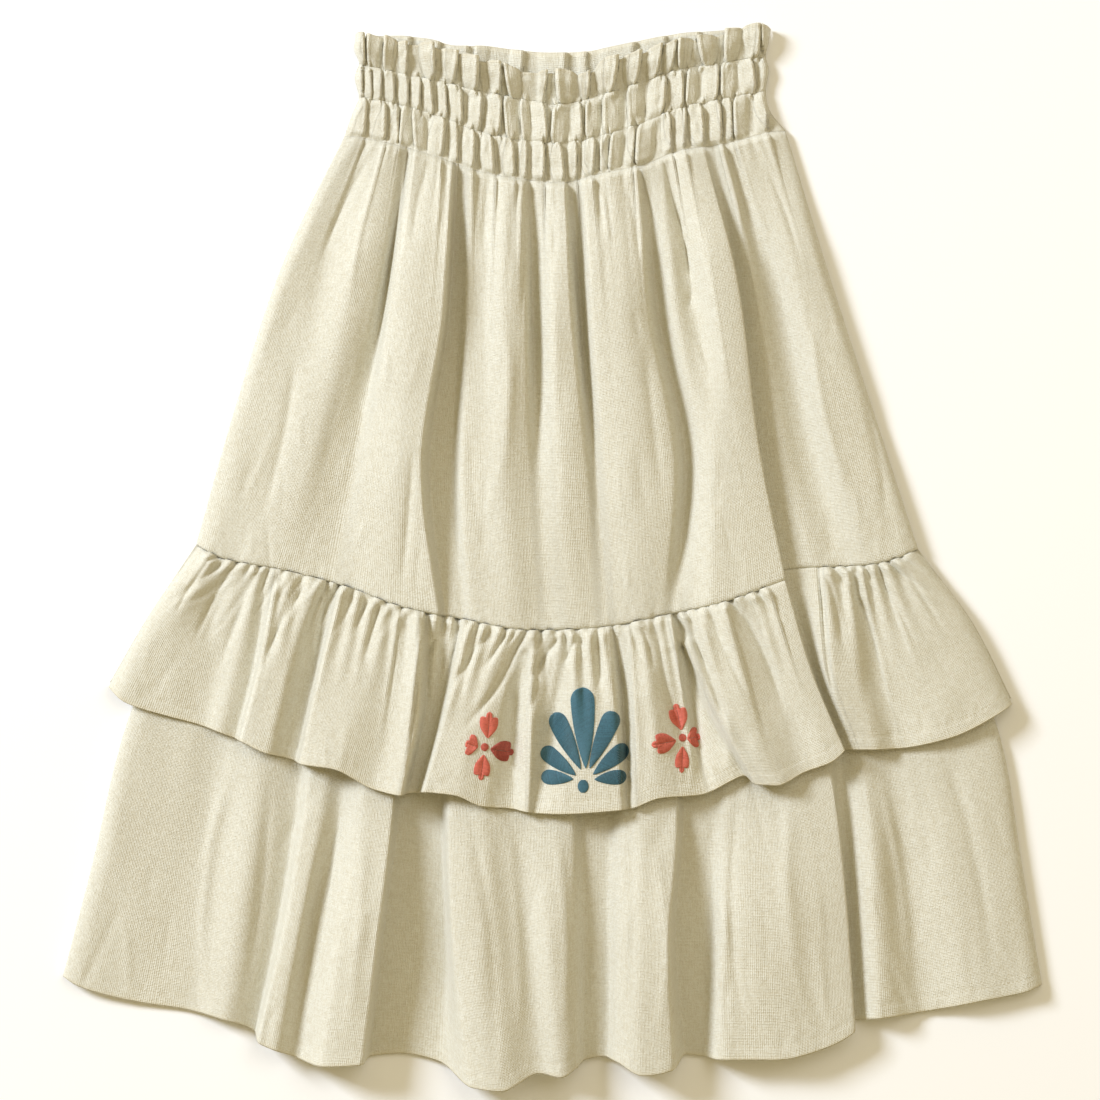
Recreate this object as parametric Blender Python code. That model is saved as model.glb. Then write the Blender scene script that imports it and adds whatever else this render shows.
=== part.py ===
"""Child's linen skirt laid flat on a table, face up.

Built as the real one is sewn: a shirred waistband with a frilled heading, an upper panel, a gathered
flounce with a free hem, and a lower tier under the flounce, each cut once for the front and once for the
back. +X is the skirt's width, +Y runs from the hem to the waist, +Z is up off the table.

Places on the plan are counted in steps of PLAN_STEP from the upper left corner of a square plan, x to the
right and y down the skirt. Heights are in millimetres above the table, to the middle of the cloth.
"""
import math
from collections import namedtuple

import bpy
import numpy as np

PLAN_STEP = 0.0006      # metres for each step of the plan
PLAN_CENTRE_X = 552.5   # plan step that lies at the origin, from the left
PLAN_CENTRE_Y = 556.0   # plan step that lies at the origin, from the top
MM = 0.001

WALL = 1.2              # thickness of one cloth wall, mm
BAND_WALL = 1.4         # thickness of the doubled waistband, mm
SEAM_GAP = 0.5          # clear distance along the skirt between two sewn edges, mm
LAYER_GAP = 0.35        # clear height between two cloths that lie on each other, mm
FLOOR_Z = WALL / 2      # middle of a wall that lies on the table, mm
BAND_FLOOR_Z = BAND_WALL / 2
RIM_Z = WALL + LAYER_GAP    # where a front side edge comes down on the back's border, mm
ROLL_RISE = 1.3         # how far that edge runs straight up before the cloth turns over, mm

PINCH = 0.35            # share of a gather's height left under a row of shirring
BAND_VALLEY_Z = 3.4     # front waistband between two gathers, mm
FRILL_VALLEY_Z = 7.2    # front heading between two gathers, at its free edge, mm
BACK_GATHER_SHARE = 0.26  # height of a back gather against the front one that it nests in

FLOUNCE_GATHERS = 40    # gathers in the front half of the flounce
FLOUNCE_GATHER_Z = 2.4  # their height just below the seam, mm
BACK_FLOUNCE_GATHERS = 26
BACK_FLOUNCE_GATHER_Z = 1.0
TIER_LIFT = 2.6         # height of the back tier above the table where it lies on the back flounce, mm

SWELL = 0.35            # how much prouder the folds stand below the waist, for each mm above SWELL_FROM
SWELL_FROM = 4.0        # mm
SWELL_TOP = 185.0       # plan step down from which the folds swell
SWELL_FULL = 270.0      # plan step where they have their full swell

PRESS_ACROSS = 7.0      # plan steps across the skirt over which a cloth feels the one that lies on it
PRESS_DOWN = 30.0       # the same, down the skirt

LINEN = (0.80, 0.76, 0.62, 1.0)

Station = namedtuple("Station", "x row_1 row_2 row_3")
# The three rows of shirring across the front, and how far down the plan each one lies.
SHIRRING = [
    Station(357, 64, 97, 137),
    Station(400, 74, 105, 146),
    Station(440, 82, 117, 158),
    Station(480, 92, 132, 172),
    Station(520, 99, 140, 179),
    Station(560, 105, 143, 183),
    Station(600, 96, 136, 174),
    Station(640, 83, 124, 166),
    Station(680, 70, 108, 151),
    Station(720, 64, 100, 145),
    Station(770, 56, 90, 132),
]

BandEdge = namedtuple("BandEdge", "zone left right")
# Side outline of the waistband; zone 0 is the free edge, 1 to 3 are the rows of shirring.
BAND_EDGES = [
    BandEdge(0.0, 357, 769),
    BandEdge(0.5, 355, 768),
    BandEdge(1.0, 360, 765),
    BandEdge(1.4, 355.5, 768),
    BandEdge(2.0, 359.5, 765),
    BandEdge(2.5, 352, 769),
    BandEdge(3.0, 345, 785),
]

Frill = namedtuple("Frill", "left right height edge")
# Gathers of the front heading: plan x from left to right, height in mm, plan y of the free edge.
FRONT_FRILL = [
    Frill(354, 366, 7.0, 33),
    Frill(366, 383, 5.5, 35),
    Frill(383, 397, 6.5, 37),
    Frill(398, 408, 5.0, 40),
    Frill(420, 436, 7.0, 42),
    Frill(440, 458, 6.5, 48),
    Frill(458, 480, 9.0, 55),
    Frill(487, 502, 6.5, 60),
    Frill(505, 522, 7.5, 67),
    Frill(537, 546, 5.0, 69),
    Frill(555, 577, 8.0, 70),
    Frill(578, 590, 5.5, 72),
    Frill(594, 618, 9.0, 58),
    Frill(621, 641, 7.0, 53),
    Frill(645, 661, 6.5, 46),
    Frill(661, 675, 6.0, 42),
    Frill(677, 692, 7.0, 38),
    Frill(698, 717, 8.0, 35),
    Frill(723, 741, 6.5, 28),
    Frill(742, 761, 7.0, 24),
    Frill(761, 770, 6.0, 25),
]
# Gathers of the back heading, whose inner face shows behind the dipped front edge.
BACK_FRILL = [
    Frill(357, 380, 3.5, 36),
    Frill(384, 412, 3.8, 36),
    Frill(416, 440, 4.2, 39),
    Frill(446, 470, 4.0, 46),
    Frill(473, 489, 3.8, 46),
    Frill(508, 523, 4.4, 50),
    Frill(536, 568, 4.8, 53),
    Frill(577, 587, 3.6, 52),
    Frill(595, 636, 4.6, 46),
    Frill(641, 668, 4.0, 38),
    Frill(672, 700, 4.2, 33),
    Frill(705, 735, 4.0, 31),
    Frill(740, 768, 3.6, 28),
]

Gather = namedtuple("Gather", "left right height")
UPPER_CHANNEL = [
    Gather(355, 363, 4.5),
    Gather(363, 372, 4.0),
    Gather(372, 382, 5.0),
    Gather(383, 395, 5.5),
    Gather(396, 409, 5.0),
    Gather(409, 421, 5.5),
    Gather(421, 433, 5.5),
    Gather(437, 447, 5.0),
    Gather(447, 463, 6.0),
    Gather(467, 482, 6.5),
    Gather(484, 502, 6.5),
    Gather(504, 519, 6.0),
    Gather(521, 530, 4.5),
    Gather(531, 547, 6.5),
    Gather(551, 569, 6.5),
    Gather(571, 582, 5.5),
    Gather(585, 601, 5.5),
    Gather(602, 624, 6.5),
    Gather(627, 645, 6.0),
    Gather(646, 666, 6.5),
    Gather(667, 684, 6.0),
    Gather(686, 698, 5.5),
    Gather(701, 719, 6.5),
    Gather(720, 737, 6.0),
    Gather(738, 755, 6.0),
    Gather(757, 768, 4.5),
]
LOWER_CHANNEL = [
    Gather(350, 367, 5.0),
    Gather(368, 387, 5.5),
    Gather(388, 399, 5.0),
    Gather(400, 413, 5.0),
    Gather(413, 427, 6.0),
    Gather(427, 445, 6.0),
    Gather(448, 458, 4.5),
    Gather(461, 475, 6.0),
    Gather(479, 494, 6.5),
    Gather(497, 515, 6.0),
    Gather(517, 527, 5.0),
    Gather(531, 545, 6.5),
    Gather(546, 564, 6.5),
    Gather(567, 577, 5.0),
    Gather(581, 595, 6.0),
    Gather(600, 609, 4.5),
    Gather(609, 623, 6.0),
    Gather(625, 634, 5.0),
    Gather(635, 656, 6.5),
    Gather(661, 671, 5.5),
    Gather(674, 686, 5.5),
    Gather(688, 704, 6.6),
    Gather(706, 722, 6.0),
    Gather(722, 732, 5.0),
    Gather(733, 749, 6.2),
    Gather(753, 768, 5.6),
]

PANEL_LEVELS = [0.0, 0.32, 0.68, 1.0]
PanelFold = namedtuple("PanelFold", "x_waist x_hip x_thigh x_seam z_waist z_hip z_thigh z_seam")
# Crease lines of the upper front panel, left to right: side edges, shoulders of ridges, and valleys.
PANEL_FOLDS = [
    PanelFold(345, 282, 234, 197, 3.7, 3.9, 4.4, 5.2),
    PanelFold(353, 292, 246, 212, 5.6, 7.0, 7.0, 8.0),
    PanelFold(368, 322, 285, 240, 4.2, 5.5, 8.0, 8.4),
    PanelFold(389, 356, 318, 275, 7.5, 11.5, 10.5, 9.6),
    PanelFold(401, 378, 330, 305, 5.4, 8.5, 7.8, 8.2),
    PanelFold(407, 387, 350, 330, 4.0, 3.2, 5.2, 7.6),
    PanelFold(412, 394, 372, 352, 6.2, 12.5, 9.5, 8.6),
    PanelFold(432, 420, 400, 395, 7.8, 15.5, 13.5, 10.6),
    PanelFold(451, 443, 420.5, 437, 7.0, 15.5, 14.0, 11.0),
    PanelFold(458, 450, 431, 447, 4.0, 2.5, 2.7, 7.8),
    PanelFold(465, 461, 453, 463, 5.2, 4.6, 3.4, 8.0),
    PanelFold(470, 469, 463, 473, 6.2, 8.0, 8.8, 9.6),
    PanelFold(487, 484, 484, 488, 5.2, 8.6, 9.8, 10.0),
    PanelFold(508, 505, 505, 512, 7.8, 13.0, 12.0, 10.6),
    PanelFold(523, 525, 528, 535, 6.6, 11.5, 9.8, 9.6),
    PanelFold(533, 534, 540, 550, 4.0, 3.4, 7.2, 9.0),
    PanelFold(553, 556, 562, 572, 7.6, 12.5, 11.2, 10.2),
    PanelFold(565, 571.5, 586, 592, 6.6, 12.0, 9.8, 9.6),
    PanelFold(573, 582, 596, 606, 4.0, 2.7, 6.2, 8.6),
    PanelFold(582, 594, 607, 618, 6.4, 13.0, 10.4, 9.6),
    PanelFold(610, 622, 640, 640, 7.8, 14.5, 12.8, 10.6),
    PanelFold(637, 647, 673, 660, 6.6, 11.5, 11.4, 9.4),
    PanelFold(645, 658, 686, 674, 4.0, 3.6, 3.6, 8.4),
    PanelFold(659, 675, 702, 694, 6.4, 9.6, 10.2, 10.0),
    PanelFold(667, 692, 715, 715, 4.8, 6.8, 13.2, 13.0),
    PanelFold(688, 715, 738, 752, 8.4, 14.5, 13.6, 12.8),
    PanelFold(702, 737, 757, 784, 7.6, 13.0, 12.2, 12.4),
    PanelFold(706, 731, 750, 776.5, 5.4, 8.8, 9.0, 10.4),
    PanelFold(709, 729, 747, 773, 4.6, 6.2, 6.4, 8.5),
    PanelFold(713, 736, 755, 786, 4.2, 4.2, 4.4, 6.8),
    PanelFold(719, 752, 778, 812, 6.2, 6.4, 5.6, 7.6),
    PanelFold(729, 767, 803, 840, 4.4, 3.0, 2.6, 6.8),
    PanelFold(756, 796, 830, 872, 7.4, 9.4, 10.4, 9.4),
    PanelFold(777, 816, 864, 903, 5.6, 7.0, 7.0, 8.0),
    PanelFold(785, 825.5, 874, 917, 3.7, 3.9, 4.4, 5.2),
]
OVERLAP_EDGE = 26       # row of PANEL_FOLDS where the large fold's edge lies over the cloth beside it

Place = namedtuple("Place", "x y")
# Seam between the upper panel and the flounce, and its shorter stretch behind the large fold.
FLOUNCE_SEAM = [
    Place(197, 545), Place(226, 559), Place(278, 569), Place(342, 585), Place(407, 608), Place(458, 618),
    Place(532, 630), Place(592, 628), Place(660, 616), Place(722, 602), Place(784, 580),
]
FLOUNCE_SEAM_BEHIND = [
    Place(765, 574), Place(800, 568), Place(830, 567), Place(867, 565), Place(894, 559), Place(917, 549),
]

BACK_SEAM = FLOUNCE_SEAM[:-1] + FLOUNCE_SEAM_BEHIND[2:]

FLOUNCE_LEVELS = [0.0, 0.5, 1.0]
FlounceFold = namedtuple("FlounceFold", "x_seam x_mid x_hem y_hem z_mid z_hem")
# Crease lines of the front flounce; its height at the seam is the panel's.
FLOUNCE_FOLDS = [
    FlounceFold(197, 150, 110, 687, 5.4, 5.4),
    FlounceFold(208, 162, 123, 700, 9.0, 9.0),
    FlounceFold(237, 218, 202, 725, 6.6, 6.5),
    FlounceFold(254, 240, 221, 732, 8.8, 9.0),
    FlounceFold(270, 256, 236, 738, 7.2, 7.2),
    FlounceFold(279, 265, 243, 741, 12.5, 12.0),
    FlounceFold(305, 288, 266, 752, 13.0, 13.0),
    FlounceFold(325, 305, 286, 757, 7.4, 7.2),
    FlounceFold(335, 314, 295, 760, 6.8, 6.8),
    FlounceFold(343, 322, 302, 763, 14.0, 14.5),
    FlounceFold(380, 362, 335, 768, 15.5, 17.0),
    FlounceFold(402, 394, 374, 788, 13.5, 15.0),
    FlounceFold(422, 418, 401, 794, 16.5, 18.0),
    FlounceFold(431, 427, 407, 793, 6.8, 6.8),
    FlounceFold(454, 440, 417, 792, 6.8, 6.8),
    FlounceFold(467, 450, 425, 791, 14.0, 15.5),
    FlounceFold(498, 475, 455, 794, 14.5, 16.0),
    FlounceFold(520, 500, 484, 805, 13.0, 14.0),
    FlounceFold(529, 509, 497, 808, 9.5, 12.5),
    FlounceFold(541, 529, 521, 811, 13.5, 13.5),
    FlounceFold(559, 552, 534, 812, 8.6, 12.0),
    FlounceFold(568, 569, 562, 813, 13.0, 14.0),
    FlounceFold(608, 615, 620, 809, 14.0, 15.0),
    FlounceFold(618, 624, 628, 808, 7.2, 11.0),
    FlounceFold(628, 633, 636, 806, 13.0, 14.0),
    FlounceFold(645, 655, 660, 797, 14.0, 13.5),
    FlounceFold(665, 683, 700, 794, 9.4, 10.6),
    FlounceFold(674, 697, 744, 775, 9.4, 9.8),
    FlounceFold(686, 710, 755, 783, 13.6, 13.8),
    FlounceFold(715, 738, 776, 784, 16.5, 16.0),
    FlounceFold(743, 775, 804, 771, 12.6, 12.4),
    FlounceFold(768, 796, 832, 760, 14.4, 14.2),
    FlounceFold(784, 808, 843, 750, 14.0, 13.8),
    FlounceFold(776.5, 802, 837, 750, 11.2, 11.0),
    FlounceFold(773, 799, 834, 750, 9.0, 8.8),
    FlounceFold(787, 809, 842, 749, 6.8, 6.7),
    FlounceFold(818, 824, 855, 749, 12.0, 10.5),
    FlounceFold(838, 850, 872, 749, 12.5, 11.5),
    FlounceFold(858, 874, 898, 748, 8.4, 8.4),
    FlounceFold(884, 915, 950, 737, 11.5, 11.5),
    FlounceFold(906, 958, 998, 713, 9.0, 9.0),
    FlounceFold(917, 973, 1011, 704, 5.4, 5.4),
]
FLOUNCE_OVERLAP_EDGE = 32

TIER_LEVELS = [0.0, 0.45, 0.72, 1.0]
TierFold = namedtuple("TierFold", "x_seam x_flounce x_shin x_hem y_hem z_seam z_flounce z_shin z_hem")
# Crease lines of the lower front tier, whose upper part lies hidden under the flounce.
TIER_FOLDS = [
    TierFold(203, 122, 95, 64, 976, 5.2, 4.0, 3.7, 3.7),
    TierFold(215, 135, 108, 78, 985, 5.2, 6.0, 6.4, 5.8),
    TierFold(240, 180, 160, 135, 1001, 5.2, 5.6, 4.8, 4.4),
    TierFold(262, 213, 200, 186, 1009, 5.2, 4.4, 3.6, 3.2),
    TierFold(288, 262, 246, 226, 1019, 5.4, 8.0, 9.4, 8.4),
    TierFold(318, 299, 281, 255, 1031, 5.2, 5.0, 4.0, 2.6),
    TierFold(336, 310, 289, 260, 1041, 5.2, 9.4, 12.5, 12.0),
    TierFold(345, 323, 301, 275, 1048, 5.6, 9.8, 13.5, 12.5),
    TierFold(358, 340, 312, 294, 1055, 5.6, 7.4, 7.0, 7.2),
    TierFold(382, 366, 346, 326, 1064, 6.4, 13.0, 17.0, 16.0),
    TierFold(406, 392, 378, 362, 1062, 6.4, 13.0, 18.0, 17.0),
    TierFold(415, 399, 384, 370, 1056, 5.2, 4.6, 3.2, 2.4),
    TierFold(432, 424, 412, 402, 1053, 5.2, 4.2, 2.6, 2.3),
    TierFold(452, 441, 444, 440, 1061, 5.2, 4.6, 3.4, 4.0),
    TierFold(474, 450, 456, 473, 1085, 6.4, 11.5, 15.0, 14.5),
    TierFold(492, 480, 488, 502, 1088, 6.6, 12.5, 17.0, 18.0),
    TierFold(518, 515, 529, 539, 1071, 6.0, 9.2, 10.4, 13.0),
    TierFold(546, 546, 552, 561, 1075, 6.4, 10.0, 14.5, 15.0),
    TierFold(568, 571, 574, 576, 1066, 6.2, 9.4, 10.5, 11.5),
    TierFold(584, 584, 585, 585, 1059, 5.4, 5.4, 3.8, 4.4),
    TierFold(604, 607, 606, 604, 1056, 5.4, 5.2, 3.4, 4.0),
    TierFold(616, 621, 619, 617, 1060, 5.4, 8.8, 12.0, 11.0),
    TierFold(640, 645, 640, 642, 1073, 6.0, 11.0, 16.5, 16.0),
    TierFold(660, 675, 667, 671, 1068, 5.6, 10.4, 17.0, 15.0),
    TierFold(674, 684, 676, 686, 1054, 5.2, 5.0, 3.6, 2.6),
    TierFold(698, 712, 708, 704, 1056, 5.6, 5.2, 3.6, 3.2),
    TierFold(715, 730, 724, 721, 1058, 5.6, 6.6, 12.5, 11.5),
    TierFold(735, 765, 770, 775, 1058, 6.0, 8.0, 13.0, 12.6),
    TierFold(742, 808, 824, 828, 1045, 6.4, 9.4, 11.0, 11.0),
    TierFold(752, 832, 846, 854, 1029, 6.2, 9.4, 9.8, 9.8),
    TierFold(756, 834, 839, 847, 1025, 5.6, 7.6, 7.2, 7.2),
    TierFold(760, 836, 836, 844, 1022, 5.3, 6.0, 4.9, 4.9),
    TierFold(768, 842, 844, 852, 1020, 5.2, 4.4, 2.8, 2.5),
    TierFold(818, 862, 875, 882, 1017, 5.6, 7.2, 9.8, 9.6),
    TierFold(848, 890, 908, 925, 1011, 5.2, 4.8, 3.8, 3.8),
    TierFold(875, 930, 955, 977, 1001, 5.4, 7.6, 9.6, 9.4),
    TierFold(900, 988, 1009, 1028, 990, 5.2, 6.0, 6.4, 5.8),
    TierFold(911, 1002, 1021, 1041, 984, 5.2, 4.0, 3.7, 3.7),
]

TIER_OVERLAP_EDGE = 29

# Outlines that the table hides: the back heading, the back flounce's hem and the back hem.
BACK_FLOUNCE_HEM = [Place(112, 682), Place(300, 736), Place(552, 768), Place(800, 740), Place(1009, 698)]
BACK_HEM = [
    Place(64, 974), Place(160, 1000), Place(255, 1026), Place(400, 1048), Place(552, 1052), Place(690, 1048),
    Place(840, 1016), Place(935, 1006), Place(1041, 982),
]

BackFold = namedtuple("BackFold", "x_top y_top x_foot y_foot width_top width_foot height_top height_foot")
# Soft folds of the back, each one under a ridge of the front.
BACK_FOLDS = [
    BackFold(385, 190, 318, 470, 16, 44, 1.6, 3.4),
    BackFold(430, 190, 405, 520, 18, 40, 2.0, 4.6),
    BackFold(508, 200, 508, 480, 20, 34, 1.8, 3.6),
    BackFold(616, 200, 628, 500, 26, 44, 2.0, 4.2),
    BackFold(690, 200, 738, 560, 16, 36, 2.0, 5.2),
    BackFold(352, 830, 326, 1040, 30, 40, 1.0, 4.6),
    BackFold(484, 830, 505, 1046, 26, 40, 1.0, 4.8),
    BackFold(645, 830, 646, 1046, 24, 34, 1.0, 4.2),
    BackFold(775, 820, 792, 1032, 40, 60, 1.0, 4.6),
    BackFold(948, 760, 968, 996, 30, 56, 0.8, 3.2),
]


def monotone_curve(stations, values, places):
    """Values at the places, on a smooth curve through the stations that never overshoots them."""
    stations = np.asarray(stations, float)
    values = np.asarray(values, float)
    widths = np.diff(stations)
    slopes = np.diff(values, axis=0) / widths[:, None]
    tangents = np.empty_like(values)
    tangents[0] = slopes[0]
    tangents[-1] = slopes[-1]
    before, after = slopes[:-1], slopes[1:]
    weight_before = (2 * widths[1:] + widths[:-1])[:, None]
    weight_after = (widths[1:] + 2 * widths[:-1])[:, None]
    same_way = before * after > 0
    safe_before = np.where(same_way, before, 1.0)
    safe_after = np.where(same_way, after, 1.0)
    mean = (weight_before + weight_after) / (weight_before / safe_before + weight_after / safe_after)
    tangents[1:-1] = np.where(same_way, mean, 0.0)
    span = np.clip(np.searchsorted(stations, places, side="right") - 1, 0, len(stations) - 2)
    width = widths[span][:, None]
    part = ((places - stations[span]) / widths[span])[:, None]
    start_value = (1 + 2 * part) * (1 - part) ** 2
    start_tangent = part * (1 - part) ** 2
    end_value = part * part * (3 - 2 * part)
    end_tangent = part * part * (part - 1)
    return (start_value * values[span] + start_tangent * width * tangents[span]
            + end_value * values[span + 1] + end_tangent * width * tangents[span + 1])


def curve_height(points, x):
    """Plan y at each plan x on the smooth curve through a list of places."""
    stations = [point[0] for point in points]
    values = [[point[1]] for point in points]
    return monotone_curve(stations, values, np.clip(x, stations[0], stations[-1]))[:, 0]


def column(table, name):
    """One named column of a table, as an array."""
    return np.array([getattr(row, name) for row in table], float)


def smoothstep(low, high, value):
    """Soft step from 0 at low to 1 at high."""
    part = np.clip((value - low) / (high - low), 0.0, 1.0)
    return part * part * (3 - 2 * part)


def gathered(x, gathers):
    """Height of a row of gathers at each plan x: round tops with tight valleys between."""
    height = np.zeros_like(x)
    for gather in gathers:
        part = (x - gather.left) / (gather.right - gather.left)
        inside = (part > 0) & (part < 1)
        height = np.where(inside, gather.height * np.sin(math.pi * np.clip(part, 0, 1)) ** 1.25, height)
    return height


def section_columns(x_levels, z_levels, pitch):
    """Where to read a section: for each span between crease lines, the fractions that keep to the pitch."""
    widest = np.abs(np.diff(x_levels, axis=1)).max(axis=0)
    tallest = np.abs(np.diff(z_levels, axis=1)).max(axis=0) * MM / PLAN_STEP
    columns = []
    for span, width in enumerate(np.maximum(widest, tallest)):
        count = max(1, int(math.ceil(width / pitch)))
        columns += [(span, part / count) for part in range(count)]
    columns.append((len(widest) - 1, 1.0))
    return columns


def section_stations(x, z):
    """Distances along a section at its crease lines, eased so that steep sides stay smooth."""
    chord = np.hypot(np.diff(x) * PLAN_STEP / MM, np.diff(z))
    return np.concatenate([[0.0], np.cumsum(np.sqrt(chord + 0.05))])


def column_places(stations, columns):
    """Distance along a section of each of its columns."""
    return np.array([stations[span] + part * (stations[span + 1] - stations[span])
                     for span, part in columns])


def read_section(x, z, columns):
    """Points along one section, smooth through its crease lines."""
    stations = section_stations(x, z)
    return monotone_curve(stations, np.stack([x, z], axis=1), column_places(stations, columns))


def turn_down(x, z, rims):
    """A front section with its side edges turned straight down to the back's border."""
    rise = z.copy()
    rise[0] = max(z[0], rims[0] + ROLL_RISE)
    rise[-1] = max(z[-1], rims[1] + ROLL_RISE)
    return np.concatenate([x[:1], x, x[-1:]]), np.concatenate([rims[:1], rise, rims[1:]])


Layout = namedtuple("Layout", "table x_names z_levels levels rows pitch")


def folded_piece(layout, top_line, foot_line, rims):
    """Middle surface of a front piece from its table of crease lines, as rows of plan points.

    top_line and foot_line give the plan y of the two ends from the plan x and the span that it lies in;
    rims gives the heights of the two side edges from their plan x and y.
    """
    x_levels = np.stack([column(layout.table, name) for name in layout.x_names])
    x_rows = monotone_curve(layout.levels, x_levels, np.array(layout.rows))
    z_rows = monotone_curve(layout.levels, layout.z_levels, np.array(layout.rows))
    both_sides = ((0, 0), (1, 1))
    columns = section_columns(np.pad(x_levels, both_sides, mode="edge"),
                              np.pad(layout.z_levels, both_sides, constant_values=RIM_Z), layout.pitch)
    spans = np.array([span - 1 for span, part in columns])
    ends = []
    for row, line in ((0, top_line), (-1, foot_line)):
        x, z = turn_down(x_rows[row], z_rows[row], np.array([RIM_Z, RIM_Z]))
        x_end = read_section(x, z, columns)[:, 0]
        ends.append(line(x_end, spans, section_stations(x, z), columns))
    surface = []
    for row, level in enumerate(layout.rows):
        y = ends[0] + level * (ends[1] - ends[0])
        x, z = turn_down(x_rows[row], z_rows[row], rims(x_rows[row][[0, -1]], y[[0, -1]]))
        section = read_section(x, z, columns)
        surface.append(np.stack([section[:, 0], y, section[:, 1]], axis=1))
    return np.array(surface), spans


def on_table(x, y):
    """Heights of both side edges where the back lies on the table."""
    return np.array([RIM_Z, RIM_Z])


def seam_line(edge):
    """Plan y of the flounce seam, whose large fold's edge is a row of the piece's table."""
    def line(x, spans, stations, columns):
        before = curve_height(FLOUNCE_SEAM, x)
        behind = curve_height(FLOUNCE_SEAM_BEHIND, x)
        turn = (spans >= edge) & (spans < edge + 2)
        at_edge = x[np.argmax(spans >= edge)]
        at_foot = x[np.argmax(spans >= edge + 2)]
        share = np.clip((at_edge - x) / (at_edge - at_foot), 0.0, 1.0)
        turned = curve_height(FLOUNCE_SEAM, [at_edge])[0] * (1 - share)
        turned = turned + curve_height(FLOUNCE_SEAM_BEHIND, [at_foot])[0] * share
        return np.where(turn, turned, np.where(spans < edge, before, behind))
    return line


def hem_line(y_hem):
    """Plan y of a free hem, smooth through the table's own places."""
    def line(x, spans, stations, columns):
        padded = np.concatenate([y_hem[:1], y_hem, y_hem[-1:]])
        return monotone_curve(stations, padded[:, None], column_places(stations, columns))[:, 0]
    return line


def seam_heights(row, spans, x, edge):
    """Height of a finished section at each plan x, read apart before and behind the large fold's edge."""
    at_edge = int(np.argmax(spans >= OVERLAP_EDGE))
    at_foot = int(np.argmax(spans >= OVERLAP_EDGE + 2))
    before, turn, behind = row[1:at_edge + 1], row[at_edge:at_foot + 1][::-1], row[at_foot:-1]
    heights = np.interp(x, before[:, 0], before[:, 2])
    heights[edge:edge + 3] = np.interp(x[edge:edge + 3], turn[:, 0], turn[:, 2])
    heights[edge + 3:] = np.interp(x[edge + 3:], behind[:, 0], behind[:, 2])
    return heights


def gather_wave(part, count, phase):
    """Uneven wave from 0 to 1 along the seam: part runs from 0 at the left to 1 at the right."""
    slow = np.sin(2 * math.pi * 3.1 * part + phase)
    quick = np.sin(2 * math.pi * 7.3 * part + 2 * phase)
    swing = 0.5 - 0.5 * np.cos(2 * math.pi * count * (part + 0.011 * slow + 0.006 * quick))
    strength = 0.78 + 0.22 * np.sin(2 * math.pi * 5.7 * part + 3 * phase)
    return swing * strength


def gap_rows(surface, top_gap, foot_gap):
    """Pull the first and last rows back from the seam lines, so that sewn edges stay just apart."""
    step = MM / PLAN_STEP
    pulled = surface.copy()
    pulled[0, :, 1] += top_gap * step
    pulled[-1, :, 1] -= foot_gap * step
    return pulled


def back_base(x, y):
    """Height of the middle of the back cloth at a place of the plan."""
    hem = curve_height(BACK_FLOUNCE_HEM, x)
    seam = curve_height(BACK_SEAM, x)
    lift = TIER_LIFT * smoothstep(hem + 40, hem + 8, y) * (y > seam)
    return FLOOR_Z + lift + back_folds(x, y) * (1 - lift / TIER_LIFT)


def lay_on_back(surface):
    """Hold a front piece clear above the back wherever it would sink into it."""
    x, y = surface[:, 1:-1, 0], surface[:, 1:-1, 1]
    low = back_base(x.ravel(), y.ravel()).reshape(x.shape) + WALL + LAYER_GAP
    surface[:, 1:-1, 2] = np.maximum(surface[:, 1:-1, 2], low)
    return surface


def press_under(surface, cover):
    """Hold a piece clear below the one that lies on it."""
    fine_rows = np.linspace(0, len(cover) - 1, 41)
    fine = monotone_curve(np.arange(len(cover)), cover.reshape(len(cover), -1), fine_rows)
    fine = fine.reshape(len(fine_rows), cover.shape[1], 3)
    between = [fine[:, :-1] + (fine[:, 1:] - fine[:, :-1]) * part for part in (0.0, 0.34, 0.67)]
    points = np.concatenate([block.reshape(-1, 3) for block in between])
    for row in surface:
        across = (row[1:-1, None, 0] - points[None, :, 0]) / PRESS_ACROSS
        down = (row[1:-1, None, 1] - points[None, :, 1]) / PRESS_DOWN
        over = np.where(np.hypot(across, down) < 1.0, points[None, :, 2], np.inf).min(axis=1)
        row[1:-1, 2] = np.minimum(row[1:-1, 2], over - WALL - LAYER_GAP)
    return surface


def build_panel():
    """Upper front panel: from the last row of shirring to the flounce seam."""
    def waist_line(x, spans, stations, columns):
        return curve_height([(row.x, row.row_3) for row in SHIRRING], x)
    layout = Layout(
        table=PANEL_FOLDS,
        x_names=("x_waist", "x_hip", "x_thigh", "x_seam"),
        z_levels=np.stack([column(PANEL_FOLDS, name) for name in ("z_waist", "z_hip", "z_thigh", "z_seam")]),
        levels=PANEL_LEVELS,
        rows=[0.0, 0.06, 0.15, 0.27, 0.42, 0.58, 0.74, 0.88, 1.0],
        pitch=14.5)
    surface, spans = folded_piece(layout, waist_line, seam_line(OVERLAP_EDGE), on_table)
    return lay_on_back(surface), spans


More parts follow.
